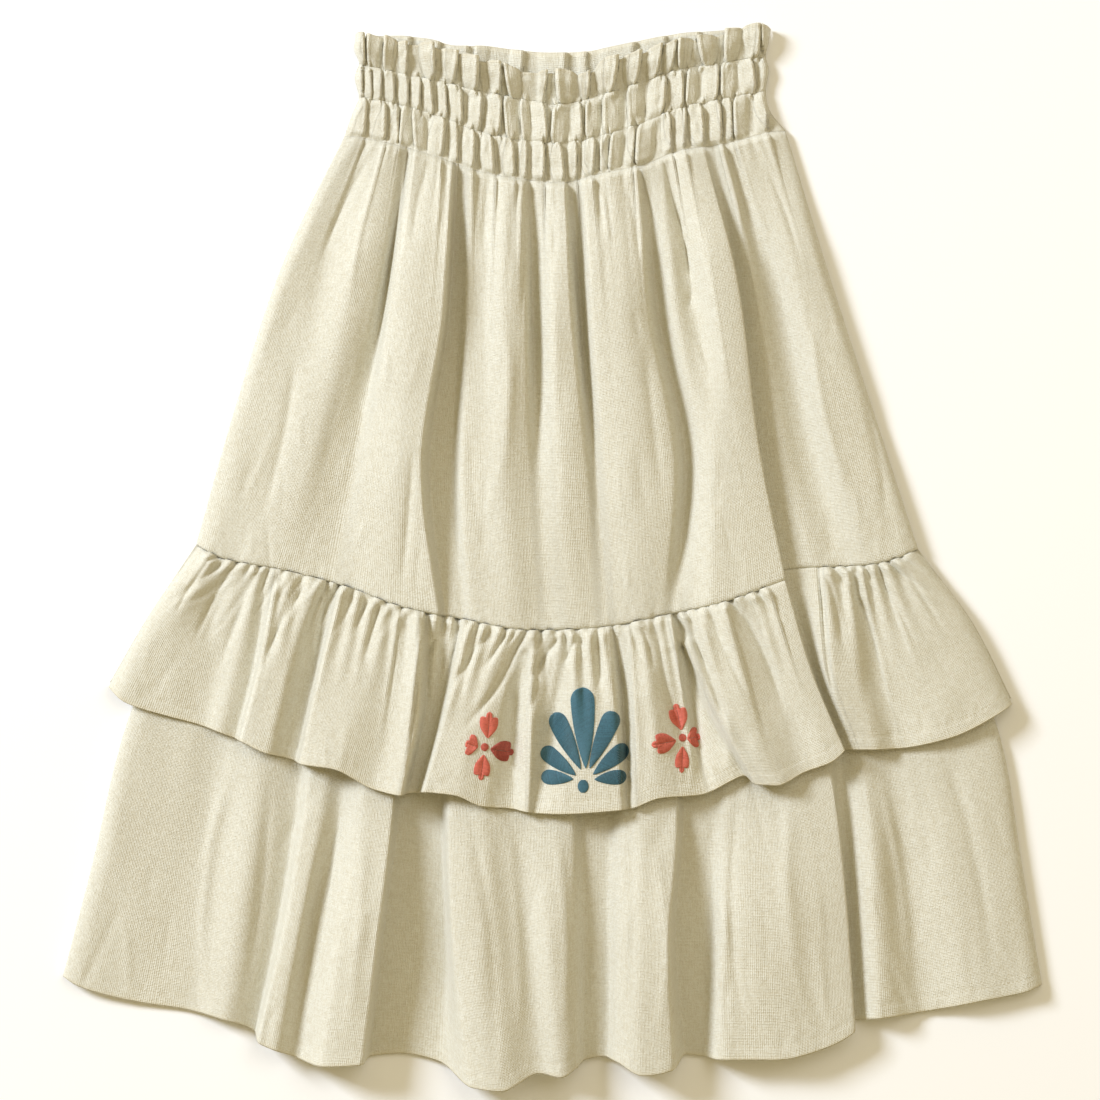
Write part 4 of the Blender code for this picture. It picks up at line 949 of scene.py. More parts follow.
@dataclass(frozen=True)
class SeamGathers:
    """Small sharp creases that a gathered edge makes beside its seam."""

    seed: int
    pitch: float
    depth: float
    reach: tuple[float, float]
    fan: float

    def relief(self, along: Array, below: Array) -> Array:
        """Height that the creases add.

        Args:
            along: Plan x of each column at the seam.
            below: Distance from the seam of each point, in steps.

        Returns:
            Height in millimetres for each point.
        """
        generator = np.random.default_rng(self.seed)
        place, last = float(along.min()) + self.pitch, float(along.max())
        relief = np.zeros_like(below)
        while place < last - self.pitch:
            reach = generator.uniform(*self.reach)
            depth = self.depth * generator.uniform(0.55, 1.1)
            lean = self.fan * (place - PLAN.centre_x) / PLAN.centre_x + generator.normal(0.0, 0.10)
            share = np.clip(1.0 - below / reach, 0.0, 1.0)
            width = 1.2 + 2.6 * share
            beside = along[None, :] - place - lean * below
            sunk = np.exp(-(beside / width) ** 2)
            raised = np.exp(-((beside - 1.9 * width) / (1.3 * width)) ** 2)
            raised += np.exp(-((beside + 2.1 * width) / (1.5 * width)) ** 2) * 0.6
            relief += depth * share ** 1.1 * (0.55 * raised - sunk)
            place += self.pitch * generator.uniform(0.62, 1.42)
        return relief


@dataclass
class Sheet:
    """One cut of cloth, ready to be given its thickness."""

    name: str
    points: Array
    thickness: Array
    painted_translucency: Array

    def row_at(self, below_foot: float) -> Array:
        """Points at a distance up from the foot.

        Args:
            below_foot: Distance from the foot in steps.

        Returns:
            One plan point for each column.
        """
        down = down_lengths(self.points)
        up = (down[-1:] - down)[::-1]
        return np.array([[np.interp(below_foot, up[:, side], self.points[::-1, side, axis]) for axis in range(3)]
                         for side in range(up.shape[1])])


def plain_sheet(name: str, points: Array, thickness: float) -> Sheet:
    """Make a sheet with a thickness in millimetres that is even."""
    return Sheet(name, points, np.full(points.shape[:2], thickness), np.zeros(points.shape[:2]))


def down_lengths(points: Array) -> Array:
    """Distance of each point down from the top edge, in steps."""
    return running(np.linalg.norm(np.diff(points[..., :2], axis=0), axis=2))


def calm_columns(spans: Array, edge: int) -> Array:
    """1 for the columns of a piece, but 0 where its large fold turns at a row of its table."""
    return ((spans < edge - 1) | (spans >= edge + 4)).astype(float)


def with_hem(sheet: Sheet) -> Sheet:
    """Double a sheet's cloth below its line of hem stitches, sink that line a little and paint a warm tint near the
    edge for light through the cloth.

    Args:
        sheet: The sheet, whose last row is the hem's edge.

    Returns:
        The same sheet.
    """
    down = down_lengths(sheet.points)
    up = down[-1:] - down
    doubled = smoothstep(HEM_DEPTH + 1.4, HEM_DEPTH - 1.4, up)
    sheet.thickness = sheet.thickness + (CLOTH.hem_shell - sheet.thickness) * doubled
    # Painted translucency: the cloth near the hem's edge is tinted as if light shone through it
    sheet.painted_translucency = np.maximum(sheet.painted_translucency, smoothstep(5.0, 0.0, up))
    pucker = value_noise(sheet.points[..., 0], up, (4.6, 16.0), 91) * np.exp(-((up - HEM_DEPTH) / 8.0) ** 2)
    sheet.points[..., 2] += HEM_PUCKER * pucker - HEM_DENT * np.exp(-((up - HEM_DEPTH) / 1.5) ** 2)
    return sheet


@dataclass(frozen=True)
class UpperPanel:
    """Upper panel, from the last row of shirring to the flounce seam."""

    rows: int = 106
    pitch: float = 2.3
    back_columns: int = 120
    back_rows: int = 60
    pleat_share: float = 0.55
    pleat_run: float = 0.10
    closed: float = 0.35
    pucker: float = 0.4
    seam_dent: float = 0.7
    waist_dent: float = 0.5
    gathers: SeamGathers = SeamGathers(12, 7.5, 0.9, (14.0, 60.0), 0.10)
    rumple: Rumple = Rumple(5, 130, (210, 150, 900, 560), (90.0, 0.42), 0.35, (26.0, 60.0))

    def front(self) -> tuple[Sheet, Array]:
        """Front panel in its deep folds.

        Returns:
            The sheet, and the span of each of its columns.
        """
        places = ("waist", "hip", "thigh", "seam")
        form = FoldedForm(PANEL_FOLDS, places, columns_at(PANEL_FOLDS, "z", places), PANEL_LEVELS,
                          eased_levels(self.rows, 2.0, 1.2), self.pitch)
        points, spans = form.surface(self.waist_y, partial(seam_y, edge=OVERLAP_EDGE), touching_rims)
        x, y, height = (points[..., axis].copy() for axis in range(3))
        along, below = x[0], down_lengths(points)
        up = below[-1:] - below
        calm, inside = calm_columns(spans, OVERLAP_EDGE), inset(x, 12.0)
        open_up = self.closed + (1 - self.closed) * smoothstep(0.0, 6.0, below)
        base = CLOTH.band_valley
        height = base + (height - base) * np.where(height > base, open_up, 1.0)
        pleats = gather_profile(along, LOWER_CHANNEL, 0.0, 1.0)[None, :]
        height += self.pleat_share * pleats * open_up * np.exp(-form.rows[:, None] / self.pleat_run) * calm * inside
        height += pleat_relief(PANEL_PLEATS, x, y) * calm * open_up
        height += crease_relief(PANEL_CREASES, x, y) * calm
        height += (self.gathers.relief(along, below) + self.rumple.relief(x, y)) * calm * inside
        height += self.pucker * value_noise(x, up, (6.0, 14.0), 21) * np.exp(-up / 9.0) * calm
        height -= self.seam_dent * np.exp(-up / 1.3) + self.waist_dent * np.exp(-below / 1.5)
        points[..., 2] = height
        return plain_sheet("front_panel_cloth", lay_on_back(points), CLOTH.shell), spans

    @staticmethod
    def waist_y(x: Array, spans: Array) -> Array:
        """Plan y of the last row of shirring."""
        return curve_height(WAIST_SEAM, x)

    def back(self) -> Sheet:
        """Back panel, flat on the table but for its soft folds."""
        side = np.linspace(0.0, 1.0, self.back_columns)
        levels = eased_levels(self.back_rows, 1.0, 0.5)
        x, y = back_plan(PANEL_FOLDS, PANEL_LEVELS, side, levels, (WAIST_SEAM, BACK_SEAM), -1.5)
        return back_sheet("back_panel_cloth", x, y, 0.0, 31)


def back_plan(folds: Sequence[NamedTuple], stops: Sequence[float], side: Array, levels: Array,
              lines: tuple[Sequence, Sequence], drop: float) -> tuple[Array, Array]:
    """Plan of a back piece, between the side edges of the front piece that lies on it.

    Args:
        folds: The front piece's table, whose first columns are the plan x at each stop.
        stops: Levels of those columns.
        side: Share of the way across of each column of points.
        levels: Level of each row of points.
        lines: Places of the top and foot edges.
        drop: How far the top edge lies below its line, in steps.

    Returns:
        Plan x and plan y of the points.
    """
    last_stop = len(stops) - 1
    first, last = folds[0], folds[-1]
    edges = monotone_curve(stops, np.stack([first[:last_stop + 1], last[:last_stop + 1]], axis=1), levels)
    x = edges[:, :1] + (edges[:, 1:] - edges[:, :1]) * side
    top, foot = (curve_height(line, first[stop] + (last[stop] - first[stop]) * side)
                 for line, stop in zip(lines, (0, last_stop)))
    top = top + drop
    return x, top + levels[:, None] * (foot - top)


def back_sheet(name: str, x: Array, y: Array, lift: Array | float, seed: int,
               fold_share: float = 1.0) -> Sheet:
    """Lay a back piece on the table with its soft folds and slight creases.

    Args:
        name: Name of the sheet.
        x: Plan x of its points.
        y: Plan y of its points.
        lift: Height above the table of what it lies on, in millimetres.
        seed: Fixed seed of its creases.
        fold_share: Share of the soft folds that it takes part in.

    Returns:
        The sheet.
    """
    box = (float(x.min()), float(y.min()), float(x.max()), float(y.max()))
    creases = np.clip(crease_relief(scattered_creases(seed, 60, box, (80.0, 0.45)), x, y), 0.0, 0.5)
    height = CLOTH.shell / 2 + lift + back_folds(x, y) * (lift < 0.5) * fold_share + creases * inset(x, 14.0)
    return plain_sheet(name, np.stack([x, y, height], axis=2), CLOTH.shell)


@dataclass(frozen=True)
class Flounce:
    """Gathered flounce with a free hem, hung from the seam below the panel."""

    rows: int = 92
    pitch: float = 2.25
    back_columns: int = 220
    back_rows: int = 40
    seam_dent: float = 0.9
    seam_rise: float = 0.7
    gathers: tuple[SeamGathers, ...] = (SeamGathers(3, 10.5, 2.0, (10.0, 34.0), 0.75),
                                        SeamGathers(4, 26.0, 1.1, (40.0, 90.0), 0.75))
    rumple: Rumple = Rumple(15, 90, (130, 570, 990, 790), (70.0, 0.38), 0.3, (22.0, 50.0))

    def front(self, panel: Sheet, panel_spans: Array) -> Sheet:
        """Front flounce, its small gathers running out into larger waves.

        Args:
            panel: The front panel.
            panel_spans: Span of each of the panel's columns.

        Returns:
            The sheet.
        """
        x_seam = column(FLOUNCE_FOLDS, "x_seam")
        z_seam = self.seam_heights(panel.points[-1], panel_spans, x_seam)
        form = FoldedForm(FLOUNCE_FOLDS, ("seam", "mid", "hem"),
                          np.stack([z_seam, *columns_at(FLOUNCE_FOLDS, "z", ("mid", "hem"))]),
                          FLOUNCE_LEVELS, eased_levels(self.rows, 3.2, 1.6), self.pitch)
        points, spans = form.surface(partial(seam_y, edge=FLOUNCE_OVERLAP_EDGE), column(FLOUNCE_FOLDS, "y_hem"),
                                     touching_rims)
        x, y, along, below = points[..., 0], points[..., 1], points[0, :, 0], down_lengths(points)
        calm, inside = calm_columns(spans, FLOUNCE_OVERLAP_EDGE), inset(x, 10.0)
        wave = gather_wave((along - x_seam[0]) / (x_seam[-1] - x_seam[0]), CLOTH.flounce_gathers, 0.6)
        relief = CLOTH.flounce_gather * wave * smoothstep(0.0, 7.0, below)
        relief *= smoothstep(0.62, 0.06, below / below[-1:])
        for gathers in self.gathers:
            relief += gathers.relief(along, below)
        relief += pleat_relief(FLOUNCE_PLEATS, x, y) + crease_relief(FLOUNCE_CREASES, x, y)
        relief += self.rumple.relief(x, y)
        points[..., 2] += relief * calm * inside - self.seam_dent * np.exp(-below / 1.4)
        return with_hem(plain_sheet("ruffle_front_cloth", lay_on_back(points), CLOTH.shell))

    def seam_heights(self, row: Array, spans: Array, x: Array) -> Array:
        """Height of the panel's foot at each crease line of the flounce.

        Args:
            row: The panel's last row of plan points.
            spans: Span of each of its columns.
            x: Plan x of the flounce's crease lines at the seam.

        Returns:
            Heights in millimetres.
        """
        at_edge = int(np.argmax(spans >= OVERLAP_EDGE))
        at_foot = int(np.argmax(spans >= OVERLAP_EDGE + 2))
        before, turn, behind = row[1:at_edge + 1], row[at_edge:at_foot + 1][::-1], row[at_foot:-1]
        edge = FLOUNCE_OVERLAP_EDGE
        heights = np.interp(x, before[:, 0], before[:, 2])
        heights[edge:edge + 3] = np.interp(x[edge:edge + 3], turn[:, 0], turn[:, 2])
        heights[edge + 3:] = np.interp(x[edge + 3:], behind[:, 0], behind[:, 2])
        return heights + self.seam_rise

    def back(self) -> Sheet:
        """Back flounce, pressed on the table by what lies on it."""
        side = np.linspace(0.0, 1.0, self.back_columns)
        levels = eased_levels(self.back_rows, 1.5, 0.8)
        x, y = back_plan(FLOUNCE_FOLDS, FLOUNCE_LEVELS, side, levels, (BACK_SEAM, BACK_FLOUNCE_HEM), 0.0)
        sheet = back_sheet("ruffle_back_cloth", x, y, 0.0, 33, 0.0)
        wave = np.maximum(gather_wave(side, CLOTH.back_gathers, 1.7) * 1.5 - 0.5, 0.0)
        wave = wave * smoothstep(0.0, 0.06, side) * smoothstep(1.0, 0.94, side)
        strength = CLOTH.back_gather * smoothstep(0.9, 0.3, levels)[:, None]
        sheet.points[..., 2] += strength * wave
        return sheet


@dataclass(frozen=True)
class LowerTier:
    """Lower tier: smooth under the flounce, then in its own deep folds down to the hem."""

    rows: int = 104
    pitch: float = 3.6
    back_columns: int = 120
    back_rows: int = 60
    rumple: Rumple = Rumple(25, 120, (90, 740, 1020, 1050), (110.0, 0.48), 0.4, (28.0, 70.0))

    def front(self, flounce: Sheet) -> Sheet:
        """Front tier under the flounce.

        Args:
            flounce: The front flounce that lies on it.

        Returns:
            The sheet.
        """
        places = ("seam", "flounce", "shin", "hem")
        form = FoldedForm(TIER_FOLDS, places, columns_at(TIER_FOLDS, "z", places), TIER_LEVELS,
                          eased_levels(self.rows, 0.0, 1.4), self.pitch)
        points, spans = form.surface(self.under_seam, column(TIER_FOLDS, "y_hem"), self.on_back)
        x, y = points[..., 0], points[..., 1]
        relief = crease_relief(TIER_CREASES, x, y) + self.rumple.relief(x, y)
        points[..., 2] += relief * calm_columns(spans, TIER_OVERLAP_EDGE) * inset(x, 12.0)
        sheet = with_hem(plain_sheet("lower_tier_front_cloth", lay_on_back(points), CLOTH.shell))
        sheet.points = Cover(flounce.points, (3, 9)).press(sheet.points, CLOTH.wall)
        return sheet

    @staticmethod
    def under_seam(x: Array, spans: Array) -> Array:
        """Plan y of the tier's hidden top edge, just under the flounce seam."""
        return seam_y(x, spans, TIER_OVERLAP_EDGE) + TIER_DROP

    @staticmethod
    def on_back(x: Array, y: Array) -> Array:
        """Heights of both side edges where they lie on the back tier."""
        return back_base(x, y) + CLOTH.tier_rim

    def back(self) -> Sheet:
        """Back tier: on the back flounce at first, then down on the table."""
        side = np.linspace(0.0, 1.0, self.back_columns)
        levels = eased_levels(self.back_rows, 0.0, 0.5)
        x, y = back_plan(TIER_FOLDS, TIER_LEVELS, side, levels, (BACK_SEAM, BACK_HEM), TIER_DROP)
        return back_sheet("lower_tier_back_cloth", x, y, tier_lift(x, y), 37)


@dataclass(frozen=True)
class Waistband:
    """Shirred waistband with its frilled heading."""

    front_columns: int = 600
    front_rows: int = 78
    back_columns: int = 270
    back_rows: int = 36
    share: float = 0.78
    pinch: float = 0.78
    pinch_width: float = 0.055
    gap: float = 0.06
    neck: float = 0.26
    frill_neck: float = 0.22
    edge_thickness: float = 1.5
    stitch_dent: float = 0.25
    side_roll: float = 3.5
    side_height: float = 1.9
    free_dip: float = 5.0

    @staticmethod
    def outline(zones: Array, side: Array) -> Array:
        """Plan x across the waistband.

        Args:
            zones: Zone of each row, from 0 at the free edge to 3 at the waist seam.
            side: Share of the way across.

        Returns:
            Plan x of the points.
        """
        edges = np.array(BAND_EDGES)
        pair = monotone_curve(edges[:, 0], edges[:, 1:], zones)
        return pair[:, :1] + (pair[:, 1:] - pair[:, :1]) * side

    @staticmethod
    def plan_y(x: Array, zones: Array, frill: Sequence[Frill], dip: float) -> Array:
        """Plan y of the waistband's points.

        Args:
            x: Plan x of the points.
            zones: Zone of each row.
            frill: The heading's gathers.
            dip: How far the hidden rows of the back lie higher up, in steps.

        Returns:
            Plan y of the points.
        """
        centres = [((row.left + row.right) / 2, row.edge) for row in frill]
        lines = [curve_height(centres, x)]
        lines += [curve_height([(row.x, row[index]) for row in SHIRRING], x) - drop
                  for index, drop in ((1, dip), (2, dip), (3, dip * 0.5))]
        index = np.minimum(zones.astype(int), 2)
        part = (zones - index)[:, None]
        stacked = np.stack(lines)
        rows = np.arange(len(zones))
        return stacked[index, rows] * (1 - part) + stacked[index + 1, rows] * part

    def gathers(self, x: Array, zones: Array, frill: Sequence[Frill]) -> Array:
        """Height of the gathers, which narrow and sink at each row of shirring.

        Args:
            x: Plan x of the points.
            zones: Zone of each row.
            frill: The heading's gathers.

        Returns:
            Height in millimetres.
        """
        index = np.minimum(zones.astype(int), 2)
        part = (zones - index)[:, None]
        nearest = np.where(index[:, None] == 0, 1.0 - part, np.minimum(part, 1.0 - part))
        neck = self.gap + self.neck * np.exp(-(nearest / (2.0 * self.pinch_width)) ** 2)
        neck = neck + np.where(index[:, None] == 0, self.frill_neck * smoothstep(0.75, 0.0, nearest), 0.0)
        profiles = np.stack([gather_profile(x, table, neck, 2.0 * part - 1.0)
                             for table in (frill, UPPER_CHANNEL, LOWER_CHANNEL)])
        rows = np.arange(len(zones))
        height = profiles[index, rows]
        above, below = profiles[np.maximum(index - 1, 0), rows], profiles[np.minimum(index + 1, 2), rows]
        height = height + (above - height) * 0.5 * smoothstep(0.22, 0.0, part)
        height = height + (below - height) * 0.5 * smoothstep(0.78, 1.0, part)
        swell = smoothstep(0.0, 1.6 * self.pinch_width, nearest) * (0.92 + 0.08 * np.minimum(1.0, nearest / 0.4))
        return self.share * height * (self.pinch + (1 - self.pinch) * swell)

    def front(self, panel: Sheet) -> Sheet:
        """Front waistband, whose last row takes the upper panel's height at the waist seam.

        Args:
            panel: The front panel.

        Returns:
            The sheet.
        """
        zones = self.row_zones(self.front_rows)
        side = np.concatenate([[0.0, 0.002, 0.005], np.linspace(0.009, 0.991, self.front_columns - 6),
                               [0.995, 0.998, 1.0]])
        x = self.outline(zones, side)
        y = self.plan_y(x, zones, FRONT_FRILL, 0.0)
        free = smoothstep(1.0, 0.25, zones)[:, None]
        floor = CLOTH.band_valley + (CLOTH.frill_valley - CLOTH.band_valley) * free
        z = floor + self.gathers(x, zones, FRONT_FRILL)
        frill_swell = gather_profile(x, FRONT_FRILL, 0.0, -1.0) / 6.0
        y = y + self.free_dip * (1.0 - np.minimum(frill_swell, 1.0)) * smoothstep(0.6, 0.0, zones)[:, None]
        z += 0.5 * value_noise(x, y, (5.0, 16.0), 41) + 0.35 * value_noise(x, y, (12.0, 8.0), 42)
        z += crease_relief(scattered_creases(45, 90, (360, 30, 765, 170), (26.0, 0.8)), x, y)
        join = smoothstep(2.86, 3.0, zones)[:, None]
        waist = np.interp(x[-1], panel.points[0, 2:-2, 0], panel.points[0, 2:-2, 2])
        z = z * (1 - join) + waist * join
        for row_zone in SHIRRED_ZONES[:2]:
            z -= self.stitch_dent * np.exp(-((zones[:, None] - row_zone) / 0.025) ** 2)
        points = np.stack([x, y, z], axis=2)
        reach = np.minimum(x - x[:, :1], x[:, -1:] - x) * STEP_MM
        share = np.sqrt(1 - np.clip(1 - reach / self.side_roll, 0.0, 1.0) ** 2)
        points[..., 2] = self.side_height + (z - self.side_height) * share
        sheet = plain_sheet("waistband_front_cloth", points, CLOTH.band_shell)
        folded = smoothstep(0.16, 0.0, zones)[:, None]
        sheet.thickness = sheet.thickness + (self.edge_thickness - sheet.thickness) * folded
        # Painted translucency near the heading's free edge, as if light shone through the cloth
        sheet.painted_translucency = np.broadcast_to(smoothstep(0.12, 0.0, zones)[:, None], x.shape).copy()
        return sheet

    @staticmethod
    def row_zones(count: int) -> Array:
        """Zones of the rows, closer together at the three rows of shirring."""
        place = np.linspace(0.0, 3.0, 900)
        density = np.full_like(place, 1.0)
        for row_zone in SHIRRED_ZONES:
            density += 2.2 * np.exp(-((place - row_zone) / 0.09) ** 2)
        return spaced(place, density, count)

    def back(self) -> Sheet:
        """Back waistband on the table, its gathers nested under the front ones."""
        zones = self.row_zones(self.back_rows)
        side = np.linspace(0.0, 1.0, self.back_columns)
        x = self.outline(zones, side)
        y = self.plan_y(x, zones, BACK_FRILL, 3.0)
        share = np.where(zones < 1.0, 1.0, CLOTH.back_gather_share)[:, None]
        z = CLOTH.band_shell / 2 + share * self.gathers(x, zones, BACK_FRILL) * inset(x, 14.0)
        sheet = plain_sheet("waistband_back_cloth", np.stack([x, y, z], axis=2), CLOTH.band_shell)
        # Painted translucency near the back heading's free edge, as if light shone through the cloth
        sheet.painted_translucency = np.broadcast_to(smoothstep(0.12, 0.0, zones)[:, None], x.shape).copy()
        return sheet


def add_object(name: str, data: ID) -> Object:
    """Put a new object at the origin of the scene."""
    made = bpy.data.objects.new(name, data)
    bpy.context.scene.collection.objects.link(made)
    return made


def add_shade(mesh: Mesh, name: str, shade: Array) -> None:
    """Give each point of a mesh a value that its finish reads: painted light, with random mottle for threads."""
    mesh.attributes.new(name, "FLOAT", "POINT").data.foreach_set("value", shade.astype(np.float32))


class ShellMaker:
    """Gives sheets their thickness and turns them into closed meshes."""

    uv_name: str = "weave"
    # Name of the attribute that holds each point's painted translucency
    painted_translucency_name: str = "painted_translucency"
    above_floor: float = 0.00002

    @staticmethod
    def normals(points: Array) -> Array:
        """Unit normals of a grid of points, outward on the upper side."""
        normals = np.cross(np.gradient(points, axis=0), np.gradient(points, axis=1))
        return normals / np.maximum(np.linalg.norm(normals, axis=2, keepdims=True), 1e-12)

    @staticmethod
    def swollen(points: Array) -> Array:
        """Heights in millimetres with soft folds a little prouder than the solid ones; cloths keep their order."""
        height = points[..., 2]
        share = CLOTH.swell * smoothstep(CLOTH.swell_top, CLOTH.swell_full, points[..., 1])
        return height + share * np.maximum(height - CLOTH.swell_from, 0.0)

    @staticmethod
    def faces(rows: int, sides: int) -> Array:
        """Faces of a closed shell, whose lower points follow the upper ones.

        Args:
            rows: Rows of points of one side.
            sides: Points of each row.

        Returns:
            Four point numbers for each face.
        """
        under = rows * sides
        corner = (np.arange(rows - 1)[:, None] * sides + np.arange(sides - 1)[None, :]).ravel()
        across, down = np.arange(sides - 1), np.arange(rows - 1) * sides
        foot, right = (rows - 1) * sides + across, down + sides - 1
        quads = [(corner, corner + sides, corner + sides + 1, corner + 1),
                 (corner + under, corner + 1 + under, corner + sides + 1 + under, corner + sides + under),
                 (across, across + 1, across + 1 + under, across + under),
                 (foot + 1, foot, foot + under, foot + 1 + under),
                 (down + sides, down, down + under, down + sides + under),
                 (right, right + sides, right + sides + under, right + under)]
        return np.concatenate([np.stack(quad, axis=1) for quad in quads])

    def make(self, sheet: Sheet, material: Material) -> Object:
        """Make the closed shell of a sheet.

        Args:
            sheet: The sheet.
            material: Its finish.

        Returns:
            The new object, at the origin.
        """
        points = sheet.points.copy()
        points[..., 2] = self.swollen(points)
        middle = PLAN.to_metres(points)
        offset = self.normals(middle) * (sheet.thickness * MM / 2)[..., None]
        upper, lower = middle + offset, middle - offset
        lower[..., 2] = np.maximum(lower[..., 2], self.above_floor)
        faces = self.faces(*middle.shape[:2])
        mesh = bpy.data.meshes.new(sheet.name)
        points = np.concatenate([upper.reshape(-1, 3), lower.reshape(-1, 3)])
        mesh.from_pydata(points.tolist(), [], faces.tolist())
        mesh.shade_smooth()
        corners = faces.ravel() % sheet.painted_translucency.size
        layer = mesh.uv_layers.new(name=self.uv_name)
        layer.data.foreach_set("uv", self.weave(middle)[corners].astype(np.float32).ravel())
        # Each point's painted translucency, the same on both sides of the shell
        add_shade(mesh, self.painted_translucency_name, np.concatenate([sheet.painted_translucency.ravel()] * 2))
        mesh.materials.append(material)
        return add_object(sheet.name, mesh)

    @staticmethod
    def weave(middle: Array) -> Array:
        """Place of each point on the flat cloth, in metres, so that the weave follows it.

        Args:
            middle: Middle surface of the shell.

        Returns:
            One pair for each point.
        """
        rows, sides = middle.shape[:2]
        widths = running(np.linalg.norm(np.diff(middle, axis=1), axis=2), 1)[rows // 2]
        lengths = np.median(running(np.linalg.norm(np.diff(middle, axis=0), axis=2)), axis=1)
        return np.stack(np.meshgrid(widths - widths[sides // 2], lengths), axis=2).reshape(-1, 2)


class Value:
    """A node's output that can be used in arithmetic."""

    def __init__(self, maker: NodeMaker, socket: NodeSocket) -> None:
        """Keep the socket and the maker of its tree."""
        self.maker = maker
        self.socket = socket

    def maths(self, operation: str, first: Value | float, second: Value | float) -> Value:
        """Add one Math node."""
        return self.maker.node("ShaderNodeMath", 0, {0: first, 1: second}, operation=operation)

    def __add__(self, other: Value | float) -> Value:
        """Sum."""
        return self.maths("ADD", self, other)

    __radd__ = __add__

    def __sub__(self, other: Value | float) -> Value:
        """Difference."""
        return self.maths("SUBTRACT", self, other)

    def __rsub__(self, other: float) -> Value:
        """Difference from a number."""
        return self.maths("SUBTRACT", other, self)

    def __mul__(self, other: Value | float) -> Value:
        """Product."""
        return self.maths("MULTIPLY", self, other)

    __rmul__ = __mul__


class NodeMaker:
    """Adds nodes to a tree and joins them."""

    def __init__(self, tree: NodeTree) -> None:
        """Keep the tree."""
        self.tree = tree

    def join(self, given: object, socket: NodeSocket) -> None:
        """Link a value to a socket, or set the socket to a plain one."""
        if isinstance(given, Value):
            self.tree.links.new(given.socket, socket)
        else:
            socket.default_value = given

    def node(self, kind: str, output: str | int, values: Optional[dict[str | int, object]] = None,
             **settings: object) -> Value:
        """Add a node.

        Args:
            kind: The node's type.
            output: Name or number of the output that is used.
            values: Values of its sockets, by name or number.
            **settings: Its settings, which are set first.

        Returns:
            The output.
        """
        node = self.tree.nodes.new(kind)
        for name, setting in settings.items():
            setattr(node, name, setting)
        for name, given in (values or {}).items():
            self.join(given, node.inputs[name])
        return Value(self, node.outputs[output])


class Graph(NodeMaker):
    """Node tree of one material."""

    def __init__(self, name: str) -> None:
        """Start a material with its shader."""
        self.material = bpy.data.materials.new(name)
        self.material.use_nodes = True
        super().__init__(self.material.node_tree)

    def mix(self, factor: Value, first: Value | tuple, second: Value | tuple) -> Value:
        """Mix two colours by the share of the second one."""
        return self.node("ShaderNodeMix", 2, {0: factor, 6: first, 7: second}, data_type="RGBA")

    def shade(self, **values: object) -> Material:
        """Set or link the shader's sockets, with underscores for spaces, and give the finished material."""
        for name, given in values.items():
            self.join(given, self.tree.nodes["Principled BSDF"].inputs[name.replace("_", " ")])
        return self.material


Colour = tuple[float, float, float, float]


